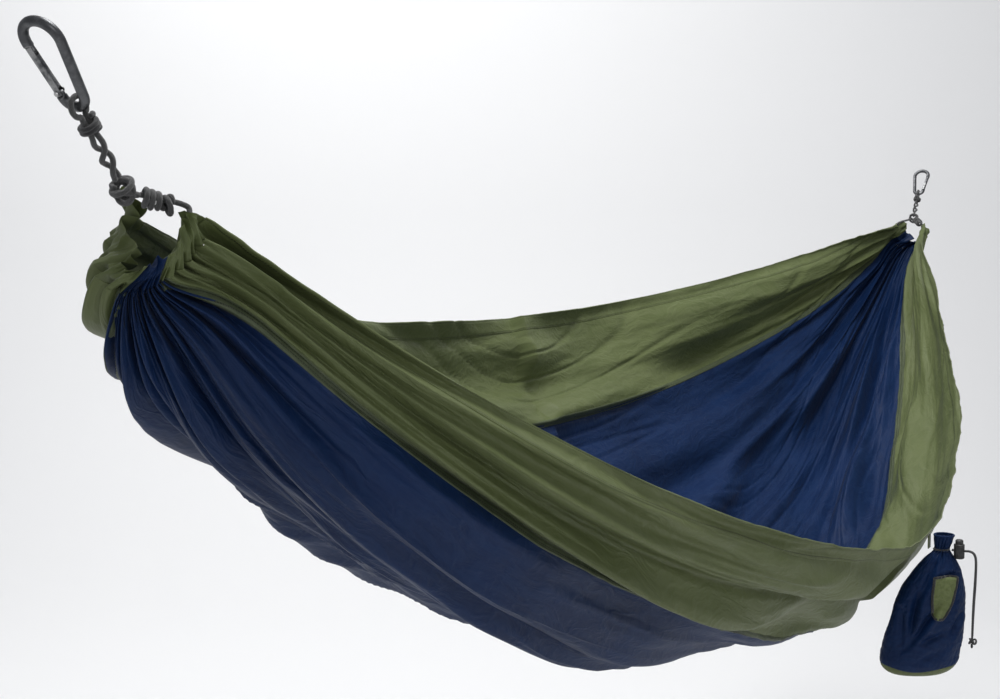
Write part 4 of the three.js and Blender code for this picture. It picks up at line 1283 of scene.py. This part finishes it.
knot = finish_piece(tail_knot("tail_knot"), cord_braid, "sack", "cord", "tail_knot")
lock_parts = [repaint("cord_lock_barrel", plastic), repaint("cord_lock_button", plastic)]
for number, side in ((1, -1), (2, 1)):
    path = tail_path(side)
    tail = braid(f"drawcord_tail_{number}", path, CORD)
    finish_piece(tail, cord_braid, "sack", "cord", f"drawcord_tail_{number}")


def coil(name, node):
    """A closely wound spring that fills the place of its plain node."""
    low, high = (np.array(corner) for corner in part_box(node))
    centre, wire = (low + high) / 2, 0.0005
    radius = (high[0] - low[0]) / 2 - wire / 2
    turn = np.linspace(0, 5 * 2 * math.pi, 181)
    rise = np.linspace(low[2] + wire / 2, high[2] - wire / 2, 181)
    line = np.stack([centre[0] + radius * np.cos(turn), centre[1] + radius * np.sin(turn), rise], -1)
    return braid(name, line, wire, strands=2, spacing=0.0002)


spring = coil("lock_spring", "cord_lock_spring")
lock_spring = finish_piece(spring, steel, "lock", "steel", "cord_lock_spring")
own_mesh(lock_spring)


# ---- floor, backdrop and light
FLOOR_DOWN = 1.55
CURVE = 1.5                          # radius of the sweep from the floor up to the backdrop


def stage_sheet():
    """A pale floor that curves up into a backdrop, square to the view."""
    profile = [(-6.0, 0.0), (3.0, 0.0)]
    for turn in np.linspace(0.1, math.pi / 2, 12):
        profile.append((3.0 + CURVE * math.sin(turn), CURVE - CURVE * math.cos(turn)))
    profile.append((4.5, 7.0))
    forward = np.array([math.cos(VIEW_HEADING), math.sin(VIEW_HEADING)])
    side = np.array([-forward[1], forward[0]])
    points = []
    for run, height in profile:
        middle = np.array([BED_MIDDLE, 0]) + forward * run
        points.append([[*(middle + side * across), height - FLOOR_DOWN] for across in (-9, -3, 3, 9)])
    floor = grid_mesh("pale_floor", np.array(points))
    material, nodes, shader = new_material("pale_floor", roughness=0.9)
    speck = nodes.add("ShaderNodeTexNoise", {"Scale": 3.0, "Detail": 3.0}).outputs["Fac"]
    nodes.put(shader.inputs["Base Color"], nodes.mix(speck, (0.86, 0.86, 0.86, 1), (0.83, 0.83, 0.83, 1)))
    floor.data.materials.append(material)


def soft_light(name, place, aim, size, power):
    """A round softbox that points at a place."""
    light = bpy.data.lights.new(name, "AREA")
    light.shape = "DISK"
    light.size = size
    light.energy = power
    lamp = bpy.data.objects.new(name, light)
    bpy.context.collection.objects.link(lamp)
    lamp.location = place
    lamp.rotation_euler = (Vector(aim) - Vector(place)).to_track_quat("-Z", "Y").to_euler()


stage_sheet()
soft_light("overhead softbox", (BED_MIDDLE - 0.4, -0.3, 2.4), (BED_MIDDLE, 0, -0.5), 1.5, 78)
soft_light("front softbox", (BED_MIDDLE - 3.4, -2.6, 1.0), (BED_MIDDLE, 0, -0.5), 1.4, 20)
soft_light("backdrop light", (BED_MIDDLE + 1.2, 2.0, 2.6), (BED_MIDDLE + 3.0, 2.2, 0.0), 3.0, 90)
world = bpy.data.worlds.new("studio")
bpy.context.scene.world = world
world.use_nodes = True
world.node_tree.nodes["Background"].inputs["Color"].default_value = (0.93, 0.95, 1.0, 1)
world.node_tree.nodes["Background"].inputs["Strength"].default_value = 0.40
bpy.context.scene.view_settings.view_transform = "Standard"
